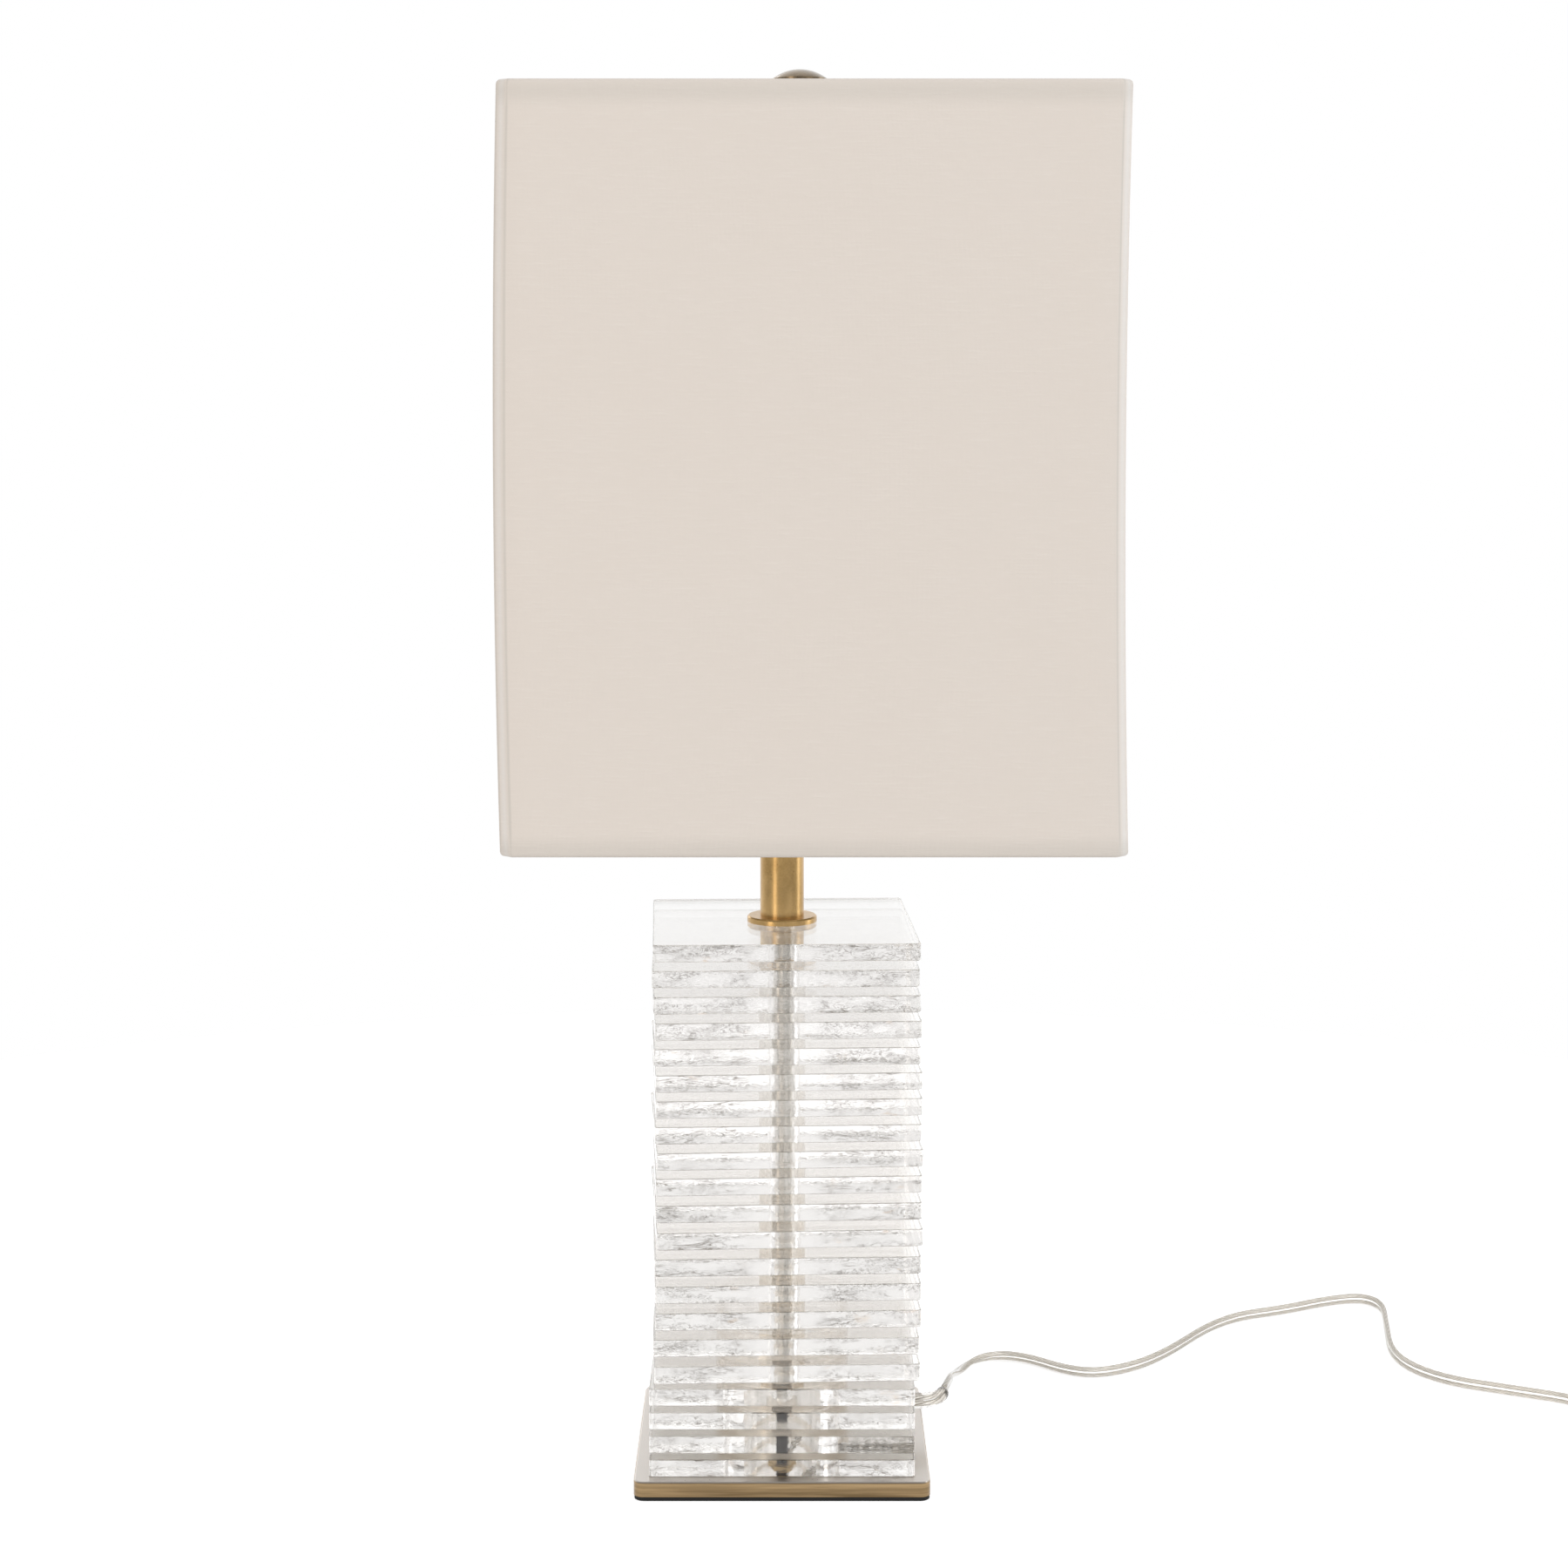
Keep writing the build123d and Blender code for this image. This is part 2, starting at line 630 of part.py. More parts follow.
def bulb_half_outline(wall):
    """The bulb's half outline, moved inwards by a wall, from the neck to the crown."""
    radius = BULB_DIAMETER / 2 - wall
    centre = BULB_LENGTH - BULB_DIAMETER / 2
    neck = BULB_CAP_DIAMETER / 2 + BULB_NECK_STEP - wall
    angle = math.radians(-BULB_SHOULDER_ANGLE)
    shoulder = Vector(radius * math.cos(angle), 0, centre + radius * math.sin(angle))
    waist = Vector(neck, 0, BULB_CAP_HEIGHT + bulb_neck_length)
    foot = Vector(neck, 0, BULB_CAP_HEIGHT)
    crown = Vector(0, 0, centre + radius)
    return foot, waist, shoulder, Vector(radius, 0, centre), crown


def bulb_glass():
    """The hollow glass, open where it sits on the cap."""
    outer = bulb_half_outline(0)
    inner = bulb_half_outline(BULB_WALL)
    outline = [
        Polyline(*outer[:3]),
        ThreePointArc(outer[2], outer[3], outer[4]),
        Line(outer[4], inner[4]),
        ThreePointArc(inner[4], inner[3], inner[2]),
        Polyline(inner[2], inner[1], inner[0]),
        Line(inner[0], outer[0]),
    ]
    edges = [edge for piece in outline for edge in piece.edges()]
    face = Face(Wire(edges))
    return Pos(0, 0, bulb_bottom) * revolve(face, Axis.Z)


# ---- Shade ----
def shade_outline(inset):
    """The shade's outline with its cut corners, moved inwards by an inset."""
    x = SHADE_WIDTH / 2 - inset
    y = SHADE_DEPTH / 2 - inset
    cut = SHADE_CORNER_CUT - inset * (2 - math.sqrt(2))
    corners = []
    for sx, sy, first_along_x in ((1, 1, False), (-1, 1, True), (-1, -1, False), (1, -1, True)):
        side_end = (sx * x, sy * (y - cut))
        end_side = (sx * (x - cut), sy * y)
        corners += [end_side, side_end] if first_along_x else [side_end, end_side]
    return make_face(Polyline(*corners, close=True))


def shade_wall(outer_inset, wall):
    sleeve = shade_outline(outer_inset) - shade_outline(outer_inset + wall)
    return Pos(shade_centre, 0, shade_bottom) * extrude(sleeve, SHADE_HEIGHT)


def shade_cover():
    return shade_wall(0, SHADE_COVER_WALL)


def shade_backing():
    return shade_wall(SHADE_COVER_WALL, SHADE_BACKING_WALL)


def ring_reach(size):
    """How far a frame ring's centre line lies from the axis, for one size of the shade."""
    walls = SHADE_COVER_WALL + SHADE_BACKING_WALL
    return size / 2 - walls - SHADE_WIRE_CLEARANCE - SHADE_WIRE / 2


def frame_ring(z):
    """A rectangular ring of wire just inside the shade's walls."""
    x = ring_reach(SHADE_WIDTH)
    y = ring_reach(SHADE_DEPTH)
    start = (x / 2, -y, z)
    turns = [(x, -y, z), (x, y, z), (-x, y, z), (-x, -y, z)]
    bends = [0] + [SHADE_WIRE_CORNER] * len(turns)
    path = FilletPolyline(start, *turns, radius=bends, close=True)
    return Pos(shade_centre, 0, 0) * tube_along(path, SHADE_WIRE)


def shade_bottom_ring():
    return frame_ring(shade_bottom + SHADE_WIRE / 2)


def spider_arm(end):
    """An arm from inside the hub's edge up to a point on the top ring."""
    hub = Vector(HARP_LEAN, 0, hub_bottom + SPIDER_HUB_THICKNESS / 2)
    outwards = Vector(end.X - hub.X, end.Y, 0).normalized()
    start = hub + outwards * (SPIDER_HUB_DIAMETER / 2 - SPIDER_ARM_OVERLAP)
    length = (end - start).length - SPIDER_ARM_STOP
    return Plane(origin=start, z_dir=end - start) * Cylinder(SPIDER_ARM / 2, length, align=BOTTOM)


def shade_top_frame():
    """The top ring with four arms down to the hub that the finial clamps."""
    ring_height = shade_top - SHADE_WIRE / 2
    frame = frame_ring(ring_height)
    for side in (-1, 1):
        frame += spider_arm(Vector(shade_centre + side * ring_reach(SHADE_WIDTH), 0, ring_height))
        frame += spider_arm(Vector(HARP_LEAN, side * ring_reach(SHADE_DEPTH), ring_height))
    bore = STUD_DIAMETER + 2 * SPIDER_HUB_CLEARANCE
    at_hub = Pos(HARP_LEAN, 0, 0)
    frame += at_hub * disc(SPIDER_HUB_DIAMETER, SPIDER_HUB_THICKNESS, hub_bottom)
    return frame - at_hub * disc(bore, SPIDER_HUB_THICKNESS, hub_bottom)


# ---- Finial ----
def finial():
    """A low domed button on a waisted stem, with the blind thread for the stud."""
    foot = FINIAL_FOOT_DIAMETER / 2
    neck = FINIAL_NECK_DIAMETER / 2
    dome = FINIAL_DOME_DIAMETER / 2
    rim_top = FINIAL_RIM_HEIGHT + FINIAL_RIM_THICKNESS
    rise = FINIAL_HEIGHT - rim_top
    dome_radius = (dome * dome + rise * rise) / (2 * rise)
    half_angle = math.asin(dome / dome_radius) / 2
    dome_mid = Vector(
        dome_radius * math.sin(half_angle),
        0,
        FINIAL_HEIGHT - dome_radius * (1 - math.cos(half_angle)),
    )
    crown = Vector(0, 0, FINIAL_HEIGHT)
    rim = Vector(dome, 0, rim_top)
    side = Polyline(
        Vector(0, 0, 0),
        Vector(foot, 0, 0),
        Vector(foot, 0, FINIAL_FOOT_HEIGHT),
        Vector(neck, 0, FINIAL_NECK_HEIGHT),
        Vector(dome, 0, FINIAL_RIM_HEIGHT),
        rim,
    )
    outline = [*side.edges(), ThreePointArc(rim, dome_mid, crown).edge(), Line(crown, Vector(0, 0, 0)).edge()]
    body = revolve(Face(Wire(outline)), Axis.Z)
    bore_depth = STUD_LENGTH - SPIDER_HUB_THICKNESS + FINIAL_BORE_SPARE
    bore = disc(STUD_DIAMETER + 2 * STUD_CLEARANCE, bore_depth, 0)
    return Pos(HARP_LEAN, 0, finial_bottom) * (body - bore)


# ---- Cord ----
def relief_end():
    """Where the cord leaves the strain relief, and the way that it points."""
    angle = math.radians(RELIEF_TURN)
    x = relief_bend_start() + RELIEF_BEND * math.sin(angle)
    y = RELIEF_BEND * (1 - math.cos(angle))
    return Vector(x, y, cord_height), Vector(math.cos(angle), math.sin(angle), 0)


def relief_collar_start():
    return PLATE_WIDTH / 2 + RELIEF_COLLAR_GAP


def relief_bend_start():
    return relief_collar_start() + RELIEF_STRAIGHT


def strain_relief():
    """The moulded sleeve in the channel: a barrel, a collar outside the glass and a bent taper."""
    start = PLATE_WIDTH / 2 - RELIEF_INSIDE
    end, heading = relief_end()
    along = Plane(origin=(start, 0, cord_height), z_dir=(1, 0, 0))
    barrel = along * Cylinder(RELIEF_START_DIAMETER / 2, relief_bend_start() - start, align=BOTTOM)
    at_collar = Plane(origin=(relief_collar_start(), 0, cord_height), z_dir=(1, 0, 0))
    barrel += at_collar * Cylinder(RELIEF_COLLAR_DIAMETER / 2, RELIEF_COLLAR_THICKNESS, align=BOTTOM)
    bend_start = Vector(relief_bend_start(), 0, cord_height)
    bend = TangentArc(bend_start, end, tangent=(1, 0, 0))
    wide = Plane(origin=bend_start, z_dir=(1, 0, 0)) * Circle(RELIEF_START_DIAMETER / 2)
    narrow = Plane(origin=end, z_dir=heading) * Circle(CORD_DIAMETER / 2 + RELIEF_LIP)
    return barrel + sweep([wide, narrow], path=bend, multisection=True)


def inner_cord():
    """The cord inside the lamp: through the channel, into the rod's slot and up to the socket."""
    points = [
        (PLATE_WIDTH / 2 - RELIEF_INSIDE, 0, cord_height),
        (INNER_CORD_TURN, 0, cord_height),
        (0, 0, inner_cord_knee),
        (0, 0, cap_bottom + SOCKET_BODY_START),
    ]
    path = FilletPolyline(*points, radius=[INNER_CORD_BEND, INNER_CORD_BEND])
    return tube_along(path, INNER_CORD_DIAMETER)


def route_radius(before, corner, after):
    """The largest neat arc at a corner of the route."""
    run_in = corner - before
    run_out = after - corner
    half_turn = math.radians(run_in.get_angle(run_out)) / 2
    shorter = min(run_in.length, run_out.length)
    return CORD_RADIUS_SHARE * shorter / math.tan(half_turn)


def coil_start():
    """Where the coil's first arc begins, and the height of its lower layer."""
    return COIL_CENTRE_X - COIL_RADIUS, COIL_CENTRE_Y, COIL_LIFT + CORD_DIAMETER / 2


def cord_points():
    """The free cord's route, in line with the strain relief at one end and with the coil at the other."""
    start, heading = relief_end()
    x, y, z = coil_start()
    end = Vector(x, y + COIL_LEAD_IN, z)
    first_corner = start + heading * CORD_FIRST_RUN
    last_corner = end + Vector(0, COIL_APPROACH, 0)
    return [start, first_corner, *[Vector(*p) for p in CORD_ROUTE], last_corner, end]


def cord():
    """The free cord on the table, from the strain relief to the coil."""
    points = cord_points()
    radii = [route_radius(*points[i - 1 : i + 2]) for i in range(1, len(points) - 1)]
    print("cord radii:", [round(r, 1) for r in radii])
    path = FilletPolyline(*points, radius=radii)
    tube = tube_along(path, CORD_DIAMETER)
    report_tube("cord", tube, path, CORD_DIAMETER)
    return tube


def report_tube(name, tube, path, diameter):
    """Prints a tube's length and how its volume compares with section times length."""
    section = math.pi * diameter * diameter / 4
    length = path.length
    print(f"{name}: length {length:.1f} mm, volume ratio {tube.volume / (section * length):.5f}")


def coil_path():
    """Half turns that spiral in, climb a layer and spiral out again, straight at both ends."""
    pitch = CORD_DIAMETER + COIL_TURN_GAP
    x, y, z = coil_start()
    point = Vector(x, y, z)
    heading = -1
    inward = COIL_HALF_TURNS_DOWN + 1
    edges = [Edge.make_line(point + Vector(0, COIL_LEAD_IN, 0), point)]
    for half_turn in range(inward + COIL_HALF_TURNS_UP):
        steps = half_turn if half_turn < inward else 2 * (inward - 1) - half_turn
        radius = COIL_RADIUS - steps * pitch / 2
        climb = pitch if half_turn == inward - 1 else 0
        across = Vector(-heading * 2 * radius, 0, climb)
        middle = point + across / 2 + Vector(0, heading * across.length / 2, 0)
        end = point + across
        edges.append(Edge.make_three_point_arc(point, middle, end))
        point = end
        heading = -heading
    edges.append(Edge.make_line(point, point + Vector(0, heading * COIL_LEAD_OUT, 0)))
    return Wire(edges)


def least_self_gap(path, diameter):
    """The least gap between turns, from points a millimetre apart along the coil's centre line."""
    count = int(path.length)
    points = [path @ (i / count) for i in range(count + 1)]
    skip = int(3 * diameter)
    least = math.inf
    for i, here in enumerate(points):
        for there in points[i + skip :]:
            least = min(least, (here.X - there.X) ** 2 + (here.Y - there.Y) ** 2 + (here.Z - there.Z) ** 2)
    return math.sqrt(least) - diameter


def cord_coil():
    """The put-away length, one unbroken tube in two layers of turns."""
    path = coil_path()
    print(f"coil: least gap between turns {least_self_gap(path, CORD_DIAMETER):.2f} mm")
    tube = tube_along(path, CORD_DIAMETER)
    report_tube("coil", tube, path, CORD_DIAMETER)
    return tube


def coil_tie():
    """A flat band round the turns on the far side of the coil."""
    pitch = CORD_DIAMETER + COIL_TURN_GAP
    outer_turn = COIL_CENTRE_X + COIL_RADIUS
    low_x = outer_turn - 2 * pitch - CORD_DIAMETER / 2 - TIE_CLEARANCE
    high_x = outer_turn + CORD_DIAMETER / 2 + TIE_CLEARANCE
    low_z = COIL_LIFT - TIE_CLEARANCE / 4
    high_z = COIL_LIFT + pitch + CORD_DIAMETER + TIE_CLEARANCE
    centre = Plane(
        origin=((low_x + high_x) / 2, COIL_CENTRE_Y, (low_z + high_z) / 2),
        x_dir=(1, 0, 0),
        z_dir=(0, -1, 0),
    )
    width = high_x - low_x
    height = high_z - low_z
    corner = CORD_DIAMETER / 4
    inner = RectangleRounded(width, height, corner)
    outer = RectangleRounded(width + 2 * TIE_THICKNESS, height + 2 * TIE_THICKNESS, corner + TIE_THICKNESS)
    return extrude(centre * (outer - inner), TIE_WIDTH / 2, both=True)


# ---- Plug ----
def plug_plane(distance):
    """A plane across the plug, at a distance in front of where the cord enters."""
    end = coil_path() @ 1
    return Plane(origin=end + Vector(0, -distance, 0), x_dir=(1, 0, 0), z_dir=(0, -1, 0))


def plug_height():
    """The plug rests just clear of the table, level with the coil's upper layer."""
    return 2 * ((coil_path() @ 1).Z - PLUG_LIFT)


def plug_blade(side, width):
    """A flat blade with its hole, from inside the plug's body to its tip."""
    start = plug_plane(PLUG_LENGTH - BLADE_ROOT)
    length = BLADE_ROOT + BLADE_LENGTH
    blade = Pos(side * BLADE_SPACING / 2, 0, 0) * Box(BLADE_THICKNESS, width, length, align=BOTTOM)
    hole_height = BLADE_ROOT + BLADE_HOLE_DISTANCE
    hole = Pos(0, 0, hole_height) * Rot(0, 90, 0) * Cylinder(BLADE_HOLE_DIAMETER / 2, 2 * BLADE_SPACING)
    return start * (blade - hole)


def plug_blades():
    return [plug_blade(-1, LINE_BLADE_WIDTH), plug_blade(1, NEUTRAL_BLADE_WIDTH)]


def plug_body():
    """A moulded grip that widens from the cord to the face that the blades stand on."""
    rear = plug_plane(0) * RectangleRounded(PLUG_REAR_WIDTH, PLUG_REAR_HEIGHT, PLUG_CORNER_RADIUS)
    outline = RectangleRounded(PLUG_WIDTH, plug_height(), PLUG_CORNER_RADIUS)
    shoulder = plug_plane(PLUG_TAPER_LENGTH) * outline
    body = loft([rear, shoulder], ruled=True)
    body += extrude(shoulder, PLUG_LENGTH - PLUG_TAPER_LENGTH, dir=(0, -1, 0))
    for blade in plug_blades():
        body -= blade
    return body


def main():
    os.makedirs("parts", exist_ok=True)
    save("felt_pad", felt_pad())
    save("base_plate", base_plate())
    save("base_washer", base_washer())
    save("rod_nuts", *rod_nuts())
    for index in range(PLATE_COUNT):
        save(f"glass_plate_{index + 1:02d}", glass_plate(index))
    save("upper_spacers", *[plate_spacer(i) for i in range(MIDDLE_PLATE_START)])
    save("middle_spacers", *[plate_spacer(i) for i in range(MIDDLE_PLATE_START, first_cavity_plate - 1)])
    save("cavity_rings", *[cavity_ring(i) for i in range(first_cavity_plate - 1, PLATE_COUNT - 1)])
    save("centre_rod", centre_rod())
    save("neck_flange", neck_flange())
    save("neck_tube", neck_tube())
    save("harp_saddle", harp_saddle())
    save("harp", harp())
    save("harp_stud", harp_stud())
    save("ferrule_left", ferrule(-1))
    save("ferrule_right", ferrule(1))
    save("socket_cap", socket_cap())
    save("socket_shell", socket_shell())
    save("socket_liner", socket_liner())
    save("socket_body", socket_body())
    save("terminal_screws", *terminal_screws())
    save("screw_shell", screw_shell())
    save("centre_contact", centre_contact())
    save("switch_stem", switch_stem())
    save("switch_knob", switch_knob())
    save("bulb_cap", bulb_cap())
    save("bulb_glass", bulb_glass())
    save("shade_backing", shade_backing())
    save("shade_cover", shade_cover())
    save("shade_top_frame", shade_top_frame())
    save("shade_bottom_ring", shade_bottom_ring())
    save("finial", finial())
    save("strain_relief", strain_relief())
    save("inner_cord", inner_cord())
    save("cord", cord())
    save("cord_coil", cord_coil())
    save("coil_tie", coil_tie())
    save("plug_body", plug_body())
    save("plug_blades", *plug_blades())


main()
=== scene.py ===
# %% [markdown]
# # A column table lamp
#
# The lamp is a stack of clear glass plates on a brass base, with a brass neck and a tall fabric shade.
# A CAD model already holds every hard part at its real size, so this file gives those parts their
# finish, and builds what CAD can't make well: the glass with its rough cut edges, the stretched cloth,
# the felt and the two-wire cord. Everything is in metres, with the table at height zero.

# %% Load the CAD frame
import math

import bmesh
import bpy
import numpy as np
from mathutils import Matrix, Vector


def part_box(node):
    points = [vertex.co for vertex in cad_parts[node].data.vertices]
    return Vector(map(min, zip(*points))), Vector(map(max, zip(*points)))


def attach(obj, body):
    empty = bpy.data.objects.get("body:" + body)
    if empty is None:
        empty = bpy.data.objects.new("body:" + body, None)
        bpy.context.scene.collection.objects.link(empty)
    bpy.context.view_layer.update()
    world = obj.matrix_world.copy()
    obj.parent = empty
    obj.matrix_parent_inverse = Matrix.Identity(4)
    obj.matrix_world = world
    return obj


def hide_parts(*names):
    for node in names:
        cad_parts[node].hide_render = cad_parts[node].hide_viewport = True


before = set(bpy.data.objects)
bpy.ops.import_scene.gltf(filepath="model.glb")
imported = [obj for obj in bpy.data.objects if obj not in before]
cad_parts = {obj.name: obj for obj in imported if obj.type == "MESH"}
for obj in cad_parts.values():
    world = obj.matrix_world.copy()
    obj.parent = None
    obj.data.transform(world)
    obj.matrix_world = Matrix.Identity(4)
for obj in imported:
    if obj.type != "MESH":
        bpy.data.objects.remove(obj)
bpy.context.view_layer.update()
MM = 0.001


def linked(name, data):
    """A new object in the scene, with its data."""
    made = bpy.data.objects.new(name, data)
    bpy.context.scene.collection.objects.link(made)
    return made


# %% [markdown]
# ## The camera
#
# The lamp is seen from a little above its middle, from the front, through a long lens. A level camera
# keeps upright lines upright, and part of that comes from a shifted lens and part from a slight tilt.

# %% Camera
camera = linked("camera", bpy.data.cameras.new("camera"))
bpy.context.scene.camera = camera
camera.data.lens = 71.68
camera.data.sensor_width = 36.0
camera.data.shift_y = -0.15
camera.data.clip_end = 50.0
camera.location = (0.0010, -1.5853, 0.5629)
camera.rotation_euler = (math.radians(90 - 3.45), 0, 0)
print("camera at", tuple(round(v, 3) for v in camera.location))

# %% [markdown]
# ## Writing node trees as formulas
#
# A node tree gets long when each node is placed and linked by hand. Two small classes make it short: a
# Graph adds a node from its type, its settings and its inputs, and a Wire is an output that can be
# added and multiplied like a number. Both work in shader trees and in Geometry Nodes trees, because
# they share the Math node.


# %% Graph and Wire
class Wire:
    """One output of a node, usable in sums."""

    def __init__(self, graph, socket):
        self.graph = graph
        self.socket = socket

    def __add__(self, other):
        return self.graph.math("ADD", self, other)

    def __sub__(self, other):
        return self.graph.math("SUBTRACT", self, other)

    def __rsub__(self, other):
        return self.graph.math("SUBTRACT", other, self)

    def __mul__(self, other):
        return self.graph.math("MULTIPLY", self, other)

    def __truediv__(self, other):
        return self.graph.math("DIVIDE", self, other)

    __radd__ = __add__
    __rmul__ = __mul__


class Graph:
    """A node tree whose nodes are added with one call each."""

    def __init__(self, tree):
        self.tree = tree

    def plug(self, socket, value):
        if isinstance(value, Wire):
            self.tree.links.new(value.socket, socket)
        else:
            socket.default_value = value

    def node(self, kind, settings=None, inputs=None, output=0):
        made = self.tree.nodes.new(kind)
        for name, value in (settings or {}).items():
            setattr(made, name, value)
        for name, value in (inputs or {}).items():
            self.plug(made.inputs[name], value)
        return Wire(self, made.outputs[output])

    def math(self, operation, *values):
        return self.node("ShaderNodeMath", {"operation": operation}, dict(enumerate(values)))

    def axis(self, place, index):
        """The x, y or z of a vector, by its number."""
        return self.node("ShaderNodeSeparateXYZ", None, {0: place}, output=index)


# %% [markdown]
# ## A finish
#
# Every material here is one Principled shader. A Finish holds its tree and the few patterns that most
# finishes need: the place on the piece in millimetres, noise stretched along an axis, a blend of two
# colours and a bump.


# %% Finish
class Finish(Graph):
    """One material with a Principled shader."""

    def __init__(self, name, **values):
        self.material = bpy.data.materials.new(name)
        self.material.use_nodes = True
        super().__init__(self.material.node_tree)
        self.shader = self.tree.nodes["Principled BSDF"]
        for key, value in values.items():
            self.set(key.replace("_", " ").title().replace("Ior", "IOR"), value)

    def set(self, socket, value):
        if isinstance(value, tuple) and len(value) == 3:
            value = (*value, 1)
        self.plug(self.shader.inputs[socket], value)

    def place(self, stretch=(1, 1, 1), uv=None):
        """Object coordinates in millimetres, or the piece's UV map, divided by a stretch."""
        if uv:
            source = self.node("ShaderNodeUVMap", {"uv_map": uv})
        else:
            source = self.node("ShaderNodeTexCoord", output="Object")
        scale = tuple(1000 / s for s in stretch)
        return self.node("ShaderNodeVectorMath", {"operation": "MULTIPLY"}, {0: source, 1: scale})

    def noise(self, place, scale, detail=3.0, roughness=0.5, distortion=0.0):
        inputs = {
            "Vector": place,
            "Scale": scale,
            "Detail": detail,
            "Roughness": roughness,
            "Distortion": distortion,
        }
        return self.node("ShaderNodeTexNoise", None, inputs)

    def ramp(self, value, low, high):
        """0 below low, 1 above high, and smooth between them."""
        settings = {"interpolation_type": "SMOOTHSTEP"}
        return self.node("ShaderNodeMapRange", settings, {"Value": value, "From Min": low, "From Max": high})

    def mix(self, factor, a, b):
        """A blend of two colours."""
        a = (*a, 1) if isinstance(a, tuple) else a
        b = (*b, 1) if isinstance(b, tuple) else b
        return self.node("ShaderNodeMix", {"data_type": "RGBA"}, {"Factor": factor, 6: a, 7: b}, output=2)

    def bump(self, height, distance):
        """A bump whose height of 1 stands out by a distance in millimetres."""
        inputs = {"Height": height, "Distance": distance * MM, "Strength": 1.0}
        self.set("Normal", self.node("ShaderNodeBump", None, inputs))


def dress(finish, *nodes):
    """Puts a finish on CAD nodes, in their own material slots."""
    for name in nodes:
        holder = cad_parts[name]
        holder = bpy.data.objects[name] if isinstance(holder, str) else holder
        if not holder.data.materials:
            holder.data.materials.append(finish.material)
        for slot in holder.material_slots:
            slot.material = finish.material


print("helpers ready")

# %% [markdown]
# ## The cord's route
#
# The cord leaves the glass on the right, bends back in its clear sleeve, drops to the table and wanders
# to the right before it turns forwards. It is a cheap, limp lamp cord, so it keeps the kinks that it
# was packed with. A NURBS spline through listed points gives one smooth line, and the coil of spare
# cord is more points of the same spline. On a quadratic spline, points on a circle's outside polygon
# draw that circle.

# %% Route points
RELIEF_START = Vector((56.0, 0, 25.95)) * MM
RELIEF_BEND_START = Vector((68.8, 0, 25.95)) * MM
RELIEF_BEND = 15.0 * MM
RELIEF_TURN = math.radians(78)


def relief_point(angle):
    """The middle of the sleeve, at an angle along its bend, and the way that it points there."""
    offset = Vector((math.sin(angle), 1 - math.cos(angle), 0)) * RELIEF_BEND
    return RELIEF_BEND_START + offset, Vector((math.cos(angle), math.sin(angle), 0))


cord_exit, exit_heading = relief_point(RELIEF_TURN)
FLOOR = 3.1
TABLE_POINTS = [
    (91.6, 75.0, 14.0),
    (95.5, 112.0, FLOOR),
    (110.0, 143.0, FLOOR),
    (134.0, 145.0, FLOOR),
    (162.0, 114.0, FLOOR),
    (184.0, 116.0, FLOOR),
    (213.0, 141.0, FLOOR),
    (256.0, 212.0, FLOOR),
    (298.0, 230.0, FLOOR),
    (323.0, 246.0, FLOOR),
    (347.0, 254.0, FLOOR),
    (357.0, 238.0, FLOOR),
    (351.0, 198.0, FLOOR),
    (343.0, 140.0, FLOOR),
    (362.0, 103.0, FLOOR),
    (399.0, 84.0, FLOOR),
    (435.0, 62.2, 4.0),
]
COIL_RADIUS = 42.0
COIL_PITCH = 6.6
COIL_START = Vector((435.0, 24.0, 4.0))
HALF_TURNS_IN = 6
HALF_TURNS_OUT = 4
POINTS_PER_HALF_TURN = 6


def coil_points():
    """The spline's points round each half turn: in along the table, up a layer, and out again on top."""
    points = []
    start = COIL_START.copy()
    heading = -1
    step = math.pi / POINTS_PER_HALF_TURN
    for half_turn in range(HALF_TURNS_IN + HALF_TURNS_OUT):
        inner = half_turn if half_turn < HALF_TURNS_IN else 2 * (HALF_TURNS_IN - 1) - half_turn
        radius = COIL_RADIUS - inner * COIL_PITCH / 2
        climb = COIL_PITCH if half_turn == HALF_TURNS_IN - 1 else 0
        centre = start - Vector((heading * radius, 0, 0))
        for k in range(POINTS_PER_HALF_TURN):
            angle = (k + 0.5) * step
            reach = radius / math.cos(step / 2)
            x = heading * reach * math.cos(angle)
            y = heading * reach * math.sin(angle)
            points.append(centre + Vector((x, y, climb * (1 - math.cos(angle)) / 2)))
        start = start + Vector((-heading * 2 * radius, 0, climb))
        heading = -heading
    return points, start


turns, coil_end = coil_points()
plug_entry = (coil_end + Vector((0, -40.0, 0))) * MM
route = [cord_exit, cord_exit + exit_heading * 25 * MM]
route += [Vector(p) * MM for p in TABLE_POINTS]
route += [p * MM for p in turns]
route += [(coil_end + Vector((0, -14.0, 0))) * MM, plug_entry]
print(len(route), "points on the cord's route")


# %% The spline and its length
def spline_points(points, steps):
    """Points along a quadratic NURBS spline that starts and ends on its outer points."""
    curve = bpy.data.curves.new("guide", "CURVE")
    curve.dimensions = "3D"
    spline = curve.splines.new("NURBS")
    spline.points.add(len(points) - 1)
    for target, source in zip(spline.points, points):
        target.co = (*source, 1)
    spline.order_u = 3
    spline.use_endpoint_u = True
    curve.resolution_u = steps
    guide = linked("guide", curve)
    evaluated = guide.evaluated_get(bpy.context.evaluated_depsgraph_get())
    mesh = bpy.data.meshes.new_from_object(evaluated)
    line = [v.co.copy() for v in mesh.vertices]
    bpy.data.objects.remove(guide)
    bpy.data.meshes.remove(mesh)
    return line


def lengths_along(line):
    steps = [(b - a).length for a, b in zip(line, line[1:])]
    return np.concatenate([[0], np.cumsum(steps)])


cord_line = spline_points(route, 6)
cord_reach = lengths_along(cord_line)

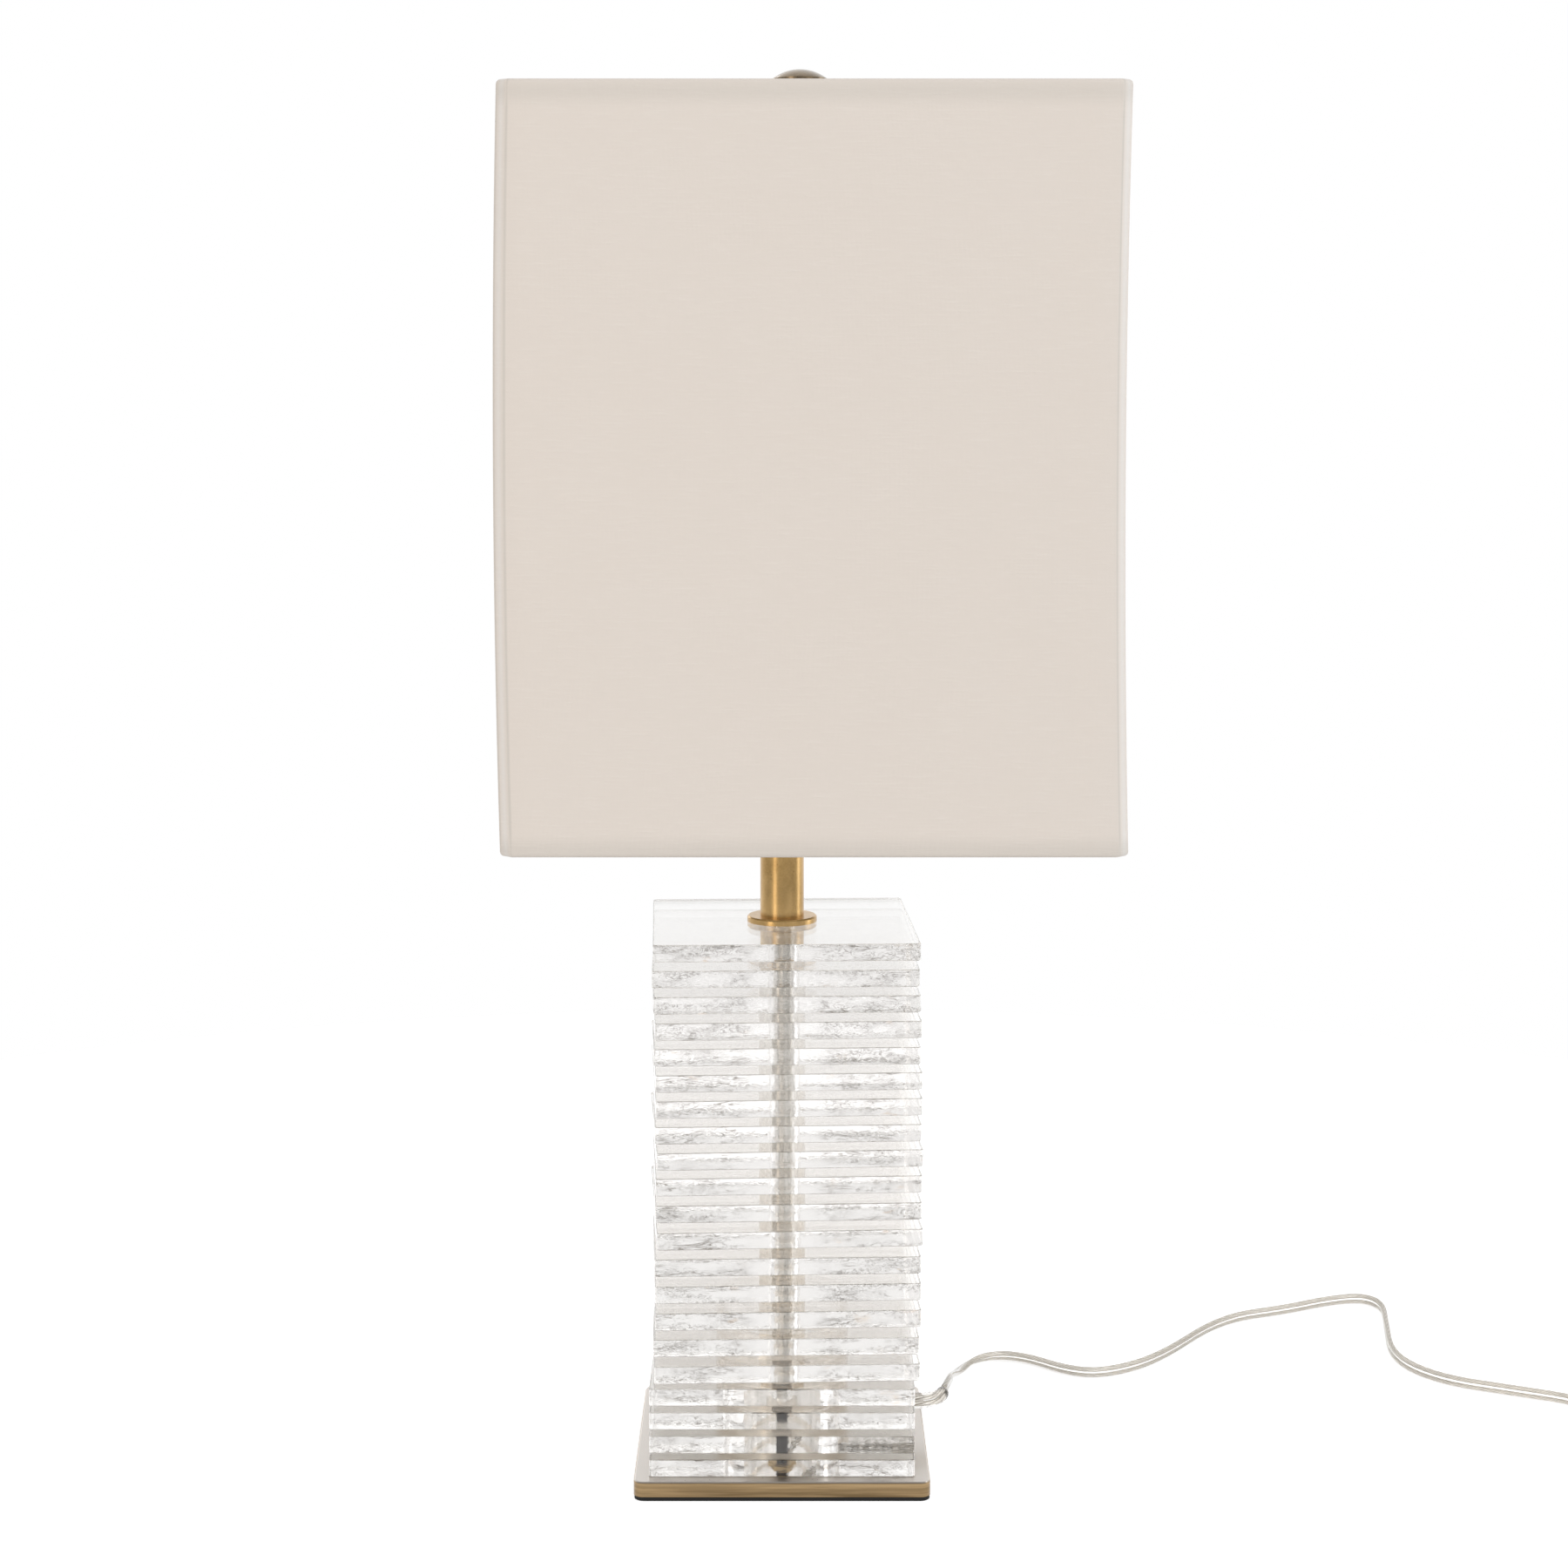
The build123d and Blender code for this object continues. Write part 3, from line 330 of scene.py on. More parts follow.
# %% [markdown]
# ## Building meshes
#
# Most soft pieces here are a profile carried along a line, so one function builds those: it places the
# profile's points at each point of the line, in a frame that keeps one side level, and joins them with
# quads. It also writes a UV map in metres, so that strands and ribs can follow the piece.


# %% Mesh helpers
def ring_faces(first, count, inward=False):
    """Quads between a ring of vertices and the next ring."""
    quads = []
    for k in range(count):
        a, b = first + k, first + (k + 1) % count
        quads.append((a, a + count, b + count, b) if inward else (a, b, b + count, a + count))
    return quads


def new_piece(name, vertices, faces, finish, body, smooth=True):
    """A mesh object in row coordinates, dressed, and riding on its CAD body."""
    mesh = bpy.data.meshes.new(name)
    mesh.from_pydata([tuple(v) for v in vertices], [], faces)
    mesh.materials.append(finish.material)
    mesh.shade_smooth() if smooth else mesh.shade_flat()
    piece = linked(name, mesh)
    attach(piece, body)
    return piece


def level_frames(line):
    """For each point of a line: its place, the level direction across it, and the direction above it."""
    frames = []
    for i, here in enumerate(line):
        along = (line[min(i + 1, len(line) - 1)] - line[max(i - 1, 0)]).normalized()
        across = along.cross(Vector((0, 0, 1))).normalized()
        frames.append((here, across, across.cross(along)))
    return frames


def carry(profiles, frames):
    """Vertices and faces of profiles, one for each frame, joined into a tube with closed ends."""
    count = len(profiles[0])
    vertices = []
    for profile, (here, across, above) in zip(profiles, frames):
        vertices += [here + across * a + above * b for a, b in profile]
    faces = []
    for i in range(len(frames) - 1):
        faces += ring_faces(i * count, count, inward=True)
    faces.append(tuple(range(count)))
    faces.append(tuple(range(len(vertices) - 1, len(vertices) - count - 1, -1)))
    return vertices, faces


def tube_uv(piece, reach, count, around):
    """A UV map on a carried tube: length along it, and distance round it, in metres."""
    layer = piece.data.uv_layers.new(name="along")
    for polygon in piece.data.polygons:
        ring = [v % count for v in polygon.vertices]
        last = max(ring) == count - 1 and min(ring) == 0
        for loop, vertex, k in zip(polygon.loop_indices, polygon.vertices, ring):
            turn = count if last and k == 0 else k
            layer.data[loop].uv = (reach[vertex // count], turn / count * around)


def circle(radius, count):
    turn = 2 * math.pi / count
    return [(radius * math.cos(k * turn), radius * math.sin(k * turn)) for k in range(count)]


print("mesh helpers ready")

# %% [markdown]
# ## The cord
#
# It is flat clear cord: two bundles of fine silver-coloured wire, side by side in clear plastic. The
# sheath has a waist between its two halves. The wires are separate tubes inside it, twisted by a bump
# that follows their length, with painted shade in the grooves between the strands. The cord stands on
# its narrow edge for most of its way, and rolls over once behind the column.

# %% Cord finishes
sheath = Finish(
    "clear_sheath",
    base_color=(0.96, 0.945, 0.92),
    roughness=0.12,
    ior=1.42,
    transmission_weight=1.0,
)
soft_spots = sheath.noise(sheath.place(), 0.35)
sheath.set("Roughness", soft_spots * 0.18 + 0.04)

strand = Finish("silver_strands", metallic=1.0, base_color=(0.70, 0.675, 0.63))
strand_place = strand.axis(strand.place(uv="along"), 0)
strand_round = strand.axis(strand.place(uv="along"), 1)
strand_wave = strand.math("SINE", strand_place * 0.9 + strand_round * 8.0)
# The troughs between the twisted strands are painted darker, as painted shade.
strand_groove_shade = strand.ramp(strand_wave, -1.0, 0.6)
strand.set("Base Color", strand.mix(strand_groove_shade, (0.58, 0.54, 0.48), (0.90, 0.87, 0.82)))
strand.set("Roughness", strand.noise(strand.place(), 0.8) * 0.2 + 0.25)
strand.bump(strand_wave, 0.08)
print("cord finishes ready")

# %% The sheath and its wires
CORD_HALF_WIDTH = 3.0 * MM
LOBE_RADIUS = 1.5 * MM
WIRE_RADIUS = 0.95 * MM
INNER_WIRE_RADIUS = 0.9 * MM
WIRE_SIDES = 8
LOBE_OFFSET = CORD_HALF_WIDTH - LOBE_RADIUS
LOBE_SWEEP = math.radians(248)
ROLL = [(0, 90), (0.05, 82), (0.105, 12), (0.15, 62), (0.24, 86)]
ROLL += [(0.36, 74), (0.46, 84), (0.54, 96), (0.62, 90)]


def two_lobes(sides):
    """The sheath's outline: two round halves with a waist between them."""
    outline = []
    for side in (1, -1):
        start = -LOBE_SWEEP / 2 if side > 0 else math.pi - LOBE_SWEEP / 2
        for k in range(sides):
            angle = start + LOBE_SWEEP * k / (sides - 1)
            x = side * LOBE_OFFSET + LOBE_RADIUS * math.cos(angle)
            outline.append((x, LOBE_RADIUS * math.sin(angle)))
    return outline


def rolled(profile, degrees):
    c, s = math.cos(math.radians(degrees)), math.sin(math.radians(degrees))
    return [(x * c - y * s, x * s + y * c) for x, y in profile]


def roll_at(distance):
    return float(np.interp(distance, *zip(*ROLL)))


lobes = two_lobes(9)
frames = level_frames(cord_line)
rolls = [roll_at(s) for s in cord_reach]
vertices, faces = carry([rolled(lobes, r) for r in rolls], frames)
cord = new_piece("cord_sheath", vertices, faces, sheath, "root")
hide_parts("cord", "cord_coil")

for side, name in ((-1, "cord_wire_a"), (1, "cord_wire_b")):
    bundle = [(x + side * LOBE_OFFSET, y) for x, y in circle(WIRE_RADIUS, WIRE_SIDES)]
    vertices, faces = carry([rolled(bundle, r) for r in rolls], frames)
    wire = new_piece(name, vertices, faces, strand, "root")
    tube_uv(wire, cord_reach, WIRE_SIDES, 2 * math.pi * WIRE_RADIUS)
print("cord sheath:", len(cord.data.polygons), "faces")

# %% [markdown]
# ## The strain relief
#
# Where the cord leaves the glass it is held in a clear moulded sleeve. The sleeve has a collar against
# the glass and bends back, getting thinner towards the cord. Inside the lamp the same two wires run on
# to the rod.

# %% Sleeve and inner cord
SLEEVE_RADIUS = 4.2
SLEEVE_END_RADIUS = 3.45
COLLAR_RADIUS = 6.0
SLEEVE_BENDS = 14

sleeve_line = [RELIEF_START + Vector((d, 0, 0)) * MM for d in (0, 5, 9.9, 10.3, 10.4, 11.7, 11.8, 12.2)]
sleeve_radii = [SLEEVE_RADIUS] * 4 + [COLLAR_RADIUS] * 2 + [SLEEVE_RADIUS] * 2
for k in range(SLEEVE_BENDS + 1):
    share = k / SLEEVE_BENDS
    sleeve_line.append(relief_point(RELIEF_TURN * share)[0])
    groove = 0.35 if k % 2 and 2 < k < SLEEVE_BENDS - 1 else 0
    sleeve_radii.append(SLEEVE_RADIUS + (SLEEVE_END_RADIUS - SLEEVE_RADIUS) * share - groove)
profiles = [circle(r * MM, 24) for r in sleeve_radii]
vertices, faces = carry(profiles, level_frames(sleeve_line))
sleeve = new_piece("relief_sleeve", vertices, faces, sheath, "root")
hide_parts("strain_relief")

INNER_POINTS = [(83.4, 11.5, 25.95), (79.0, 2.2, 25.95), (71.5, 0, 25.95), (62, 0, 25.95), (40, 0, 25.95)]
INNER_POINTS += [(20, 0, 25.95), (6, 0, 39), (0, 0, 52), (0, 0, 130), (0, 0, 396)]
inner_route = [Vector(p) * MM for p in INNER_POINTS]
inner_line = spline_points(inner_route, 8)
inner_frames = []
for i, here in enumerate(inner_line):
    along = (inner_line[min(i + 1, len(inner_line) - 1)] - inner_line[max(i - 1, 0)]).normalized()
    above = Vector((0, 1, 0)).cross(along) if abs(along.z) > 0.5 else Vector((0, 0, 1))
    across = above.cross(along).normalized()
    inner_frames.append((here, across, along.cross(across)))
inner_pair = []
for side in (-1, 1):
    offset = side * 1.05 * MM
    bundle = [(x, y + offset) for x, y in circle(INNER_WIRE_RADIUS, WIRE_SIDES)]
    vertices, faces = carry([bundle] * len(inner_line), inner_frames)
    inner_pair.append((vertices, faces))
vertices = inner_pair[0][0] + inner_pair[1][0]
shift = len(inner_pair[0][0])
faces = inner_pair[0][1] + [tuple(v + shift for v in face) for face in inner_pair[1][1]]
inner_cord = new_piece("inner_wires", vertices, faces, strand, "root")
tube_uv(inner_cord, list(lengths_along(inner_line)) * 2, WIRE_SIDES, 2 * math.pi * INNER_WIRE_RADIUS)
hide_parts("inner_cord")
print("sleeve:", len(sleeve.data.polygons), "faces")

# %% [markdown]
# ## The plug and the tie
#
# The plug is moulded from the same soft plastic: narrow where the cord goes in, with grip ribs on its
# flanks, and a flat face for the two blades. A stack of rounded rectangles, one for each station along
# it, makes that shape.

# %% Plug body
plug_finish = Finish("plug_plastic", base_color=(0.80, 0.78, 0.73), roughness=0.28, subsurface_weight=0.1)
plug_grain = plug_finish.noise(plug_finish.place(), 1.6, detail=4.0)
plug_finish.set("Base Color", plug_finish.mix(plug_grain, (0.60, 0.575, 0.525), (0.72, 0.695, 0.645)))
plug_finish.set("Roughness", plug_grain * 0.15 + 0.22)
plug_finish.bump(plug_grain, 0.05)


def rounded_rectangle(half_x, half_y, radius, steps=5):
    """An outline of a rectangle with round corners, anticlockwise."""
    outline = []
    for corner in range(4):
        cx = (half_x - radius) * (1 if corner in (0, 3) else -1)
        cy = (half_y - radius) * (1 if corner in (0, 1) else -1)
        for k in range(steps + 1):
            angle = math.radians(90 * (corner + k / steps))
            outline.append((cx + radius * math.cos(angle), cy + radius * math.sin(angle)))
    return outline


stations = [(0, 3.4, 2.6), (0.6, 4.2, 3.6), (3, 4.6, 4.2), (6, 6.4, 6.0)]
stations += [(9, 9.6, 8.4), (12.5, 11.9, 9.9)]
RIB_SHAPE = ((0, 12.3), (0.5, 11.6), (1.3, 11.6), (1.8, 12.3))
RIB_START = 13.5
RIB_PITCH = 2.4
for rib in range(5):
    start = RIB_START + rib * RIB_PITCH
    stations += [(start + step, half, 10.2) for step, half in RIB_SHAPE]
stations += [(26.4, 12.4, 10.25), (28.5, 12.4, 10.25), (29.0, 12.0, 9.85)]
plug_line = [plug_entry + Vector((0, -d, 0)) * MM for d, _, _ in stations]
profiles = [rounded_rectangle(x * MM, y * MM, min(x, y) * 0.42 * MM) for _, x, y in stations]
vertices, faces = carry(profiles, level_frames(plug_line))
plug = new_piece("plug_grip", vertices, faces, plug_finish, "root")
plug.data.set_sharp_from_angle(angle=math.radians(40))
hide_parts("plug_body")
print("plug:", len(plug.data.polygons), "faces")

# %% Tie round the coil
tie_low, tie_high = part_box("coil_tie")
tie_finish = Finish("black_tie", base_color=(0.025, 0.025, 0.027), roughness=0.5)
tie_bands = {"Vector": tie_finish.place(), "Scale": 0.5, "Distortion": 0.3}
tie_weave = tie_finish.node("ShaderNodeTexWave", {"bands_direction": "Y"}, tie_bands)
tie_finish.bump(tie_weave, 0.1)
tie_middle = (tie_low + tie_high) / 2
tie_half = (tie_high - tie_low) / 2
TIE_WALL = 0.8 * MM
tie_outer = rounded_rectangle(tie_half.x, tie_half.z, 2.3 * MM, 6)
tie_inner = rounded_rectangle(tie_half.x - TIE_WALL, tie_half.z - TIE_WALL, 1.5 * MM, 6)
count = len(tie_outer)
vertices = []
for outline, y in ((tie_outer, 1), (tie_outer, -1), (tie_inner, -1), (tie_inner, 1)):
    vertices += [tie_middle + Vector((a, y * tie_half.y, b)) for a, b in outline]
faces = []
for i in range(4):
    for k in range(count):
        a, b = i * count + k, i * count + (k + 1) % count
        c, d = ((i + 1) % 4) * count + (k + 1) % count, ((i + 1) % 4) * count + k
        faces.append((a, b, c, d))
tie = new_piece("coil_band", vertices, faces, tie_finish, "root")
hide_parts("coil_tie")

# %% [markdown]
# ## The glass plates
#
# Each plate is thick float glass. Its top and bottom are polished, and its edges are as the cutter left
# them, with ripples that scatter the light that is trapped in the plate. The stack follows a rule: the
# air gaps grow in the middle and shrink at the foot, and each plate is turned a little further.
# Geometry Nodes suit that: one tree works out each plate's height and turn from its number, and places
# one of three plate shapes there.


# %% Plate shapes
def plate_mesh(name, bore, channel=0.0):
    """A plate with its bore, lying on zero height. A face attribute marks its rough edges."""
    half, thick, arris = PLATE_HALF, PLATE_THICK, PLATE_ARRIS
    outer = rounded_rectangle(half, half, PLATE_CORNER, 4)
    steps = 72
    if channel:
        gap = math.asin(channel / 2 / bore)
        angles = np.linspace(gap, 2 * math.pi - gap, steps)
        inner = [(bore * math.cos(a), bore * math.sin(a)) for a in angles]
        right = [p for p in outer if not (abs(p[1]) < channel / 2)]
        split = next(i for i, p in enumerate(right) if p[1] > channel / 2)
        right = right[split:] + right[:split]
        loops = [[(half, channel / 2), *right, (half, -channel / 2), *inner[::-1]]]
    else:
        inner = circle(bore, steps)
        loops = [outer, inner[::-1]]
    made = bmesh.new()
    marks = {name: made.faces.layers.float.new(name) for name in ("cut", "upright", "edge", "bore")}
    rings = []
    for outline in loops:
        levels = []
        for z, inset in ((AIR_FILM, arris), (arris, 0), (thick - arris, 0), (thick - AIR_FILM, arris)):
            shrink = 1 - inset / half if outline is loops[0] and not channel else 1
            levels.append([made.verts.new((x * shrink, y * shrink, z)) for x, y in outline])
        count = len(outline)
        for step, (lower, upper) in enumerate(zip(levels, levels[1:])):
            for k in range(count):
                face = made.faces.new((lower[k], lower[(k + 1) % count], upper[(k + 1) % count], upper[k]))
                outside = max(abs(v) for v in face.calc_center_median().xy) > half - RIM_DEPTH
                front = face.calc_center_median().y < -half + RIM_DEPTH
                face[marks["upright"]] = float(outside)
                face[marks["bore"]] = float(not outside)
                face[marks["edge"]] = float(outside and step != 1)
                face[marks["cut"]] = (FRONT_CUT if front else 1.0) * outside
        rings.append(levels)
    for level, upwards in ((0, False), (3, True)):
        edges = []
        for levels in rings:
            ring = levels[level]
            edges += [made.edges.get((ring[k], ring[(k + 1) % len(ring)])) for k in range(len(ring))]
        filled = bmesh.ops.triangle_fill(made, edges=edges, use_beauty=True)
        for face in filled["geom"]:
            if isinstance(face, bmesh.types.BMFace):
                face.normal_update()
                if (face.normal.z > 0) != upwards:
                    face.normal_flip()
    mesh = bpy.data.meshes.new(name)
    made.to_mesh(mesh)
    made.free()
    return mesh


PLATE_HALF = 66.0 * MM
PLATE_THICK = 8.7 * MM
PLATE_ARRIS = 0.4 * MM
PLATE_CORNER = 1.6 * MM
AIR_FILM = 0.03 * MM
RIM_DEPTH = 2.0 * MM
FRONT_CUT = 0.25
shapes = {
    "plate_loose": plate_mesh("plate_loose", 8.0 * MM),
    "plate_cavity": plate_mesh("plate_cavity", 30.0 * MM),
    "plate_channel": plate_mesh("plate_channel", 30.0 * MM, 9.0 * MM),
}
for name, mesh in shapes.items():
    print(name, len(mesh.polygons), "faces")

# %% [markdown]
# ## The glass finish
#
# Clear glass is a Principled shader with full transmission. What gives this stack its look is the cut
# edge: ripples that run along the plate. They are a bump on the faces that the attribute marks, plus
# thin grey lines where the chips catch dirt, from a noise that is stretched along the plate.

# %% Glass
glass = Finish("clear_glass", roughness=0.0, ior=1.5, transmission_weight=1.0)


def glass_mark(name):
    return glass.node("ShaderNodeAttribute", {"attribute_name": name}, output="Fac")


glass_x = glass.axis(glass.place(), 0)
off_middle = glass.ramp(glass.math("ABSOLUTE", glass_x), 12, 24)


def glass_scratches(stretch, scale, width, patch_stretch, low, high):
    """Thin squiggles where a noise crosses its middle, kept to a few patches."""
    wander = glass.noise(glass.place(stretch=stretch), scale, detail=3.5, distortion=1.0)
    lines = 1 - glass.ramp(glass.math("ABSOLUTE", wander - 0.5), 0.0, width)
    patch = glass.noise(glass.place(stretch=patch_stretch), 1.0, detail=3.0)
    return lines * glass.ramp(patch, low, high), wander


fine_chips, ripples = glass_scratches((2.2, 2.2, 1.1), 0.62, 0.055, (24, 24, 4), 0.46, 0.56)
long_chips, _ = glass_scratches((16, 16, 2.0), 0.8, 0.045, (30, 30, 6), 0.52, 0.62)
chips = glass.math("MAXIMUM", fine_chips * 0.85, long_chips) * glass_mark("upright") * off_middle
stain = glass.ramp(glass.noise(glass.place(stretch=(16, 16, 5)), 1.0), 0.66, 0.74)
plain = glass.mix(glass_mark("upright"), (0.957, 0.951, 0.943), (0.882, 0.866, 0.848))
drill_noise = glass.noise(glass.place(stretch=(2.2, 2.2, 90)), 1.0)
drill_marks = glass.ramp(drill_noise, 0.40, 0.60)
bored = glass.mix(drill_marks, (0.95, 0.94, 0.92), (0.60, 0.585, 0.56))
plain = glass.mix(glass_mark("bore"), plain, bored)
plain = glass.mix(glass_mark("edge"), plain, (0.40, 0.38, 0.345))
stained = glass.mix(stain * glass_mark("upright") * off_middle, plain, (0.72, 0.58, 0.46))
glass.set("Base Color", glass.mix(chips, stained, (0.11, 0.09, 0.07)))
glass.set("Roughness", glass_mark("cut") * 0.03)
glass.bump(ripples * glass_mark("cut"), 0.28)
print("glass ready")


# %% The stack, in Geometry Nodes
def tree_input(tree, name, kind, value):
    """A named input of a Geometry Nodes tree. Returns its identifier."""
    socket = tree.interface.new_socket(name=name, in_out="INPUT", socket_type=kind)
    if value is not None:
        socket.default_value = value
    return socket.identifier


STACK_SIZES = {
    "Plates": ("NodeSocketInt", 21),
    "Cavity plates": ("NodeSocketInt", 4),
    "Thickness": ("NodeSocketFloat", PLATE_THICK),
    "Upper gap": ("NodeSocketFloat", 4.2 * MM),
    "Middle gap": ("NodeSocketFloat", 4.8 * MM),
    "Lower gap": ("NodeSocketFloat", 3.2 * MM),
    "First height": ("NodeSocketFloat", 9.7 * MM),
    "Turn": ("NodeSocketFloat", math.radians(1.8)),
    "Turn swing": ("NodeSocketFloat", math.radians(1.5)),
    "Turn uneven": ("NodeSocketFloat", math.radians(0.45)),
    "Turn rhythm": ("NodeSocketFloat", 2.3),
    "Middle start": ("NodeSocketInt", 9),
    "Channel plate": ("NodeSocketInt", 19),
}


def stack_tree():
    """Places a plate for each number, counted from the top."""
    tree = bpy.data.node_groups.new("glass_stack", "GeometryNodeTree")
    tree.interface.new_socket(name="Geometry", in_out="INPUT", socket_type="NodeSocketGeometry")
    tree.interface.new_socket(name="Geometry", in_out="OUTPUT", socket_type="NodeSocketGeometry")
    keys = {name: tree_input(tree, name, kind, value) for name, (kind, value) in STACK_SIZES.items()}
    for name in ("Loose plate", "Cavity plate", "Channelled plate"):
        keys[name] = tree_input(tree, name, "NodeSocketObject", None)
    keys["Glass"] = tree_input(tree, "Glass", "NodeSocketMaterial", None)
    graph = Graph(tree)
    source = tree.nodes.new("NodeGroupInput")
    given = {socket.name: Wire(graph, socket) for socket in source.outputs if socket.name}
    number = graph.node("GeometryNodeInputIndex")
    loose_count = given["Plates"] - given["Cavity plates"]
    below = given["Plates"] - 1 - number
    upper_gaps = graph.math("MAXIMUM", given["Middle start"] - number, 0)
    lower_gaps = graph.math("MINIMUM", below, given["Cavity plates"])
    middle_gaps = below - upper_gaps - lower_gaps
    height = given["First height"] + below * given["Thickness"] + upper_gaps * given["Upper gap"]
    height = height + middle_gaps * given["Middle gap"] + lower_gaps * given["Lower gap"]
    swing = given["Turn swing"] * graph.math("SINE", number * math.pi / loose_count)
    uneven = given["Turn uneven"] * graph.math("COSINE", number * given["Turn rhythm"])
    is_loose = graph.math("LESS_THAN", number, loose_count)
    is_channel = graph.math("COMPARE", number, given["Channel plate"], 0.5)
    turn = (given["Turn"] + swing + uneven) * is_loose
    place = graph.node("ShaderNodeCombineXYZ", None, {"Z": height})
    points = graph.node(
        "GeometryNodePoints", None, {"Count": given["Plates"], "Position": place, "Radius": 0.001}
    )
    rotation = graph.node("ShaderNodeCombineXYZ", None, {"Z": turn})
    joined = tree.nodes.new("GeometryNodeJoinGeometry")
    choices = {
        "Loose plate": is_loose,
        "Channelled plate": is_channel,
        "Cavity plate": (1 - is_loose) * (1 - is_channel),
    }
    for name, chosen in choices.items():
        shape = graph.node("GeometryNodeObjectInfo", None, {"Object": given[name]}, output="Geometry")
        placed = graph.node(
            "GeometryNodeInstanceOnPoints",
            None,
            {"Points": points, "Selection": chosen, "Instance": shape, "Rotation": rotation},
        )
        tree.links.new(placed.socket, joined.inputs[0])
    whole = graph.node("GeometryNodeRealizeInstances", None, {0: Wire(graph, joined.outputs[0])})
    glazed = graph.node("GeometryNodeSetMaterial", None, {"Geometry": whole, "Material": given["Glass"]})
    sink = tree.nodes.new("NodeGroupOutput")
    tree.links.new(glazed.socket, sink.inputs[0])
    return tree, keys


def grown(name, tree, keys, values, body):
    """Runs a tree, keeps its result as a plain mesh and puts it on a body."""
    holder = linked(name, bpy.data.meshes.new(name + "_seed"))
    modifier = holder.modifiers.new("grow", "NODES")
    modifier.node_group = tree
    for key, value in values.items():
        modifier[keys[key]] = value
    bpy.context.view_layer.update()
    evaluated = holder.evaluated_get(bpy.context.evaluated_depsgraph_get())
    mesh = bpy.data.meshes.new_from_object(evaluated, depsgraph=bpy.context.evaluated_depsgraph_get())
    holder.modifiers.clear()
    holder.data = mesh
    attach(holder, body)
    return holder


tree, keys = stack_tree()
sources = {name: linked(name, mesh) for name, mesh in shapes.items()}
values = {
    "Loose plate": sources["plate_loose"],
    "Cavity plate": sources["plate_cavity"],
    "Channelled plate": sources["plate_channel"],
    "Glass": glass.material,
}
stack = grown("glass_stack", tree, keys, values, "root")
for made in sources.values():
    bpy.data.objects.remove(made)
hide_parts(*[f"glass_plate_{i:02d}" for i in range(1, 22)])
low = min(v.co.z for v in stack.data.vertices)
high = max(v.co.z for v in stack.data.vertices)
print(f"stack: {len(stack.data.polygons)} faces, from {low * 1000:.1f} to {high * 1000:.1f} mm")

# %% [markdown]
# ## Spacers and cavity rings
#
# The discs between the plates are clear plastic, a little warmer than the glass, and warmest at the
# foot.

# %% Spacers
spacer = Finish(
    "clear_spacers",
    base_color=(0.93, 0.92, 0.89),
    roughness=0.05,
    ior=1.46,
    transmission_weight=1.0,
)
spacer_scuff = spacer.noise(spacer.place(), 0.6)
spacer.set("Roughness", spacer_scuff * 0.12)
spacer_height = spacer.axis(spacer.place(), 2)
high_up = spacer.ramp(spacer_height, 60.0, 210.0)
spacer.set("Base Color", spacer.mix(high_up, (0.80, 0.745, 0.67), (0.90, 0.885, 0.86)))
dress(spacer, "upper_spacers", "middle_spacers", "cavity_rings")
print("spacers dressed")

# %% [markdown]
# ## Brass
#
# The base and the finial are an antique brown brass, the neck is brushed and lacquered, and the
# fittings under the shade are plain. All are metal with a little noise in colour and roughness. The
# brushed one has fine lines round the tube. The base's flank is painted lighter towards its top, and
# its top is painted paler still and palest under the glass: all of this is painted light.


# %% Brass finishes
def brass(name, dark, light, roughness, line=0.0, coat=0.0):
    made = Finish(name, metallic=1.0)
    place = made.place()
    cloud = made.noise(place, 0.055, detail=5.0, roughness=0.6)
    speck = made.noise(place, 0.9, detail=3.0)
    tone = made.ramp(cloud * 0.75 + speck * 0.25, 0.35, 0.65)
    made.set("Base Color", made.mix(tone, dark, light))
    made.set("Roughness", speck * 0.12 + (roughness - 0.06))
    fine = made.noise(made.place(stretch=(40, 40, 0.12)), 1.0) if line else speck
    made.bump(fine, line or 0.012)
    made.set("Coat Weight", coat)
    made.set("Coat Roughness", 0.08)
    return made


aged_brass = brass("aged_brass", (0.17, 0.115, 0.058), (0.33, 0.235, 0.13), 0.3, coat=1.0)
base_brass = brass("base_brass", (0.15, 0.095, 0.04), (0.38, 0.26, 0.13), 0.3, coat=0.4)
BASE_TOP = 9.7
GLASS_EDGE = 66.0
base_height = base_brass.axis(base_brass.place(), 2)
streaks = base_brass.noise(base_brass.place(stretch=(45, 45, 1.6)), 1.0, detail=3.0)
# The flank is painted lighter towards its top, as painted light, mixed with brushed streaks.
streaks_and_painted_top_light = base_brass.ramp(base_height, 2.0, 9.0) * 0.5 + base_brass.ramp(streaks, 0.35, 0.65) * 0.5
flank = base_brass.mix(streaks_and_painted_top_light, (0.15, 0.095, 0.04), (0.38, 0.26, 0.13))
base_place = base_brass.node("ShaderNodeVectorMath", {"operation": "ABSOLUTE"}, {0: base_brass.place()})
off_axis = base_brass.math("MAXIMUM", base_brass.axis(base_place, 0), base_brass.axis(base_place, 1))
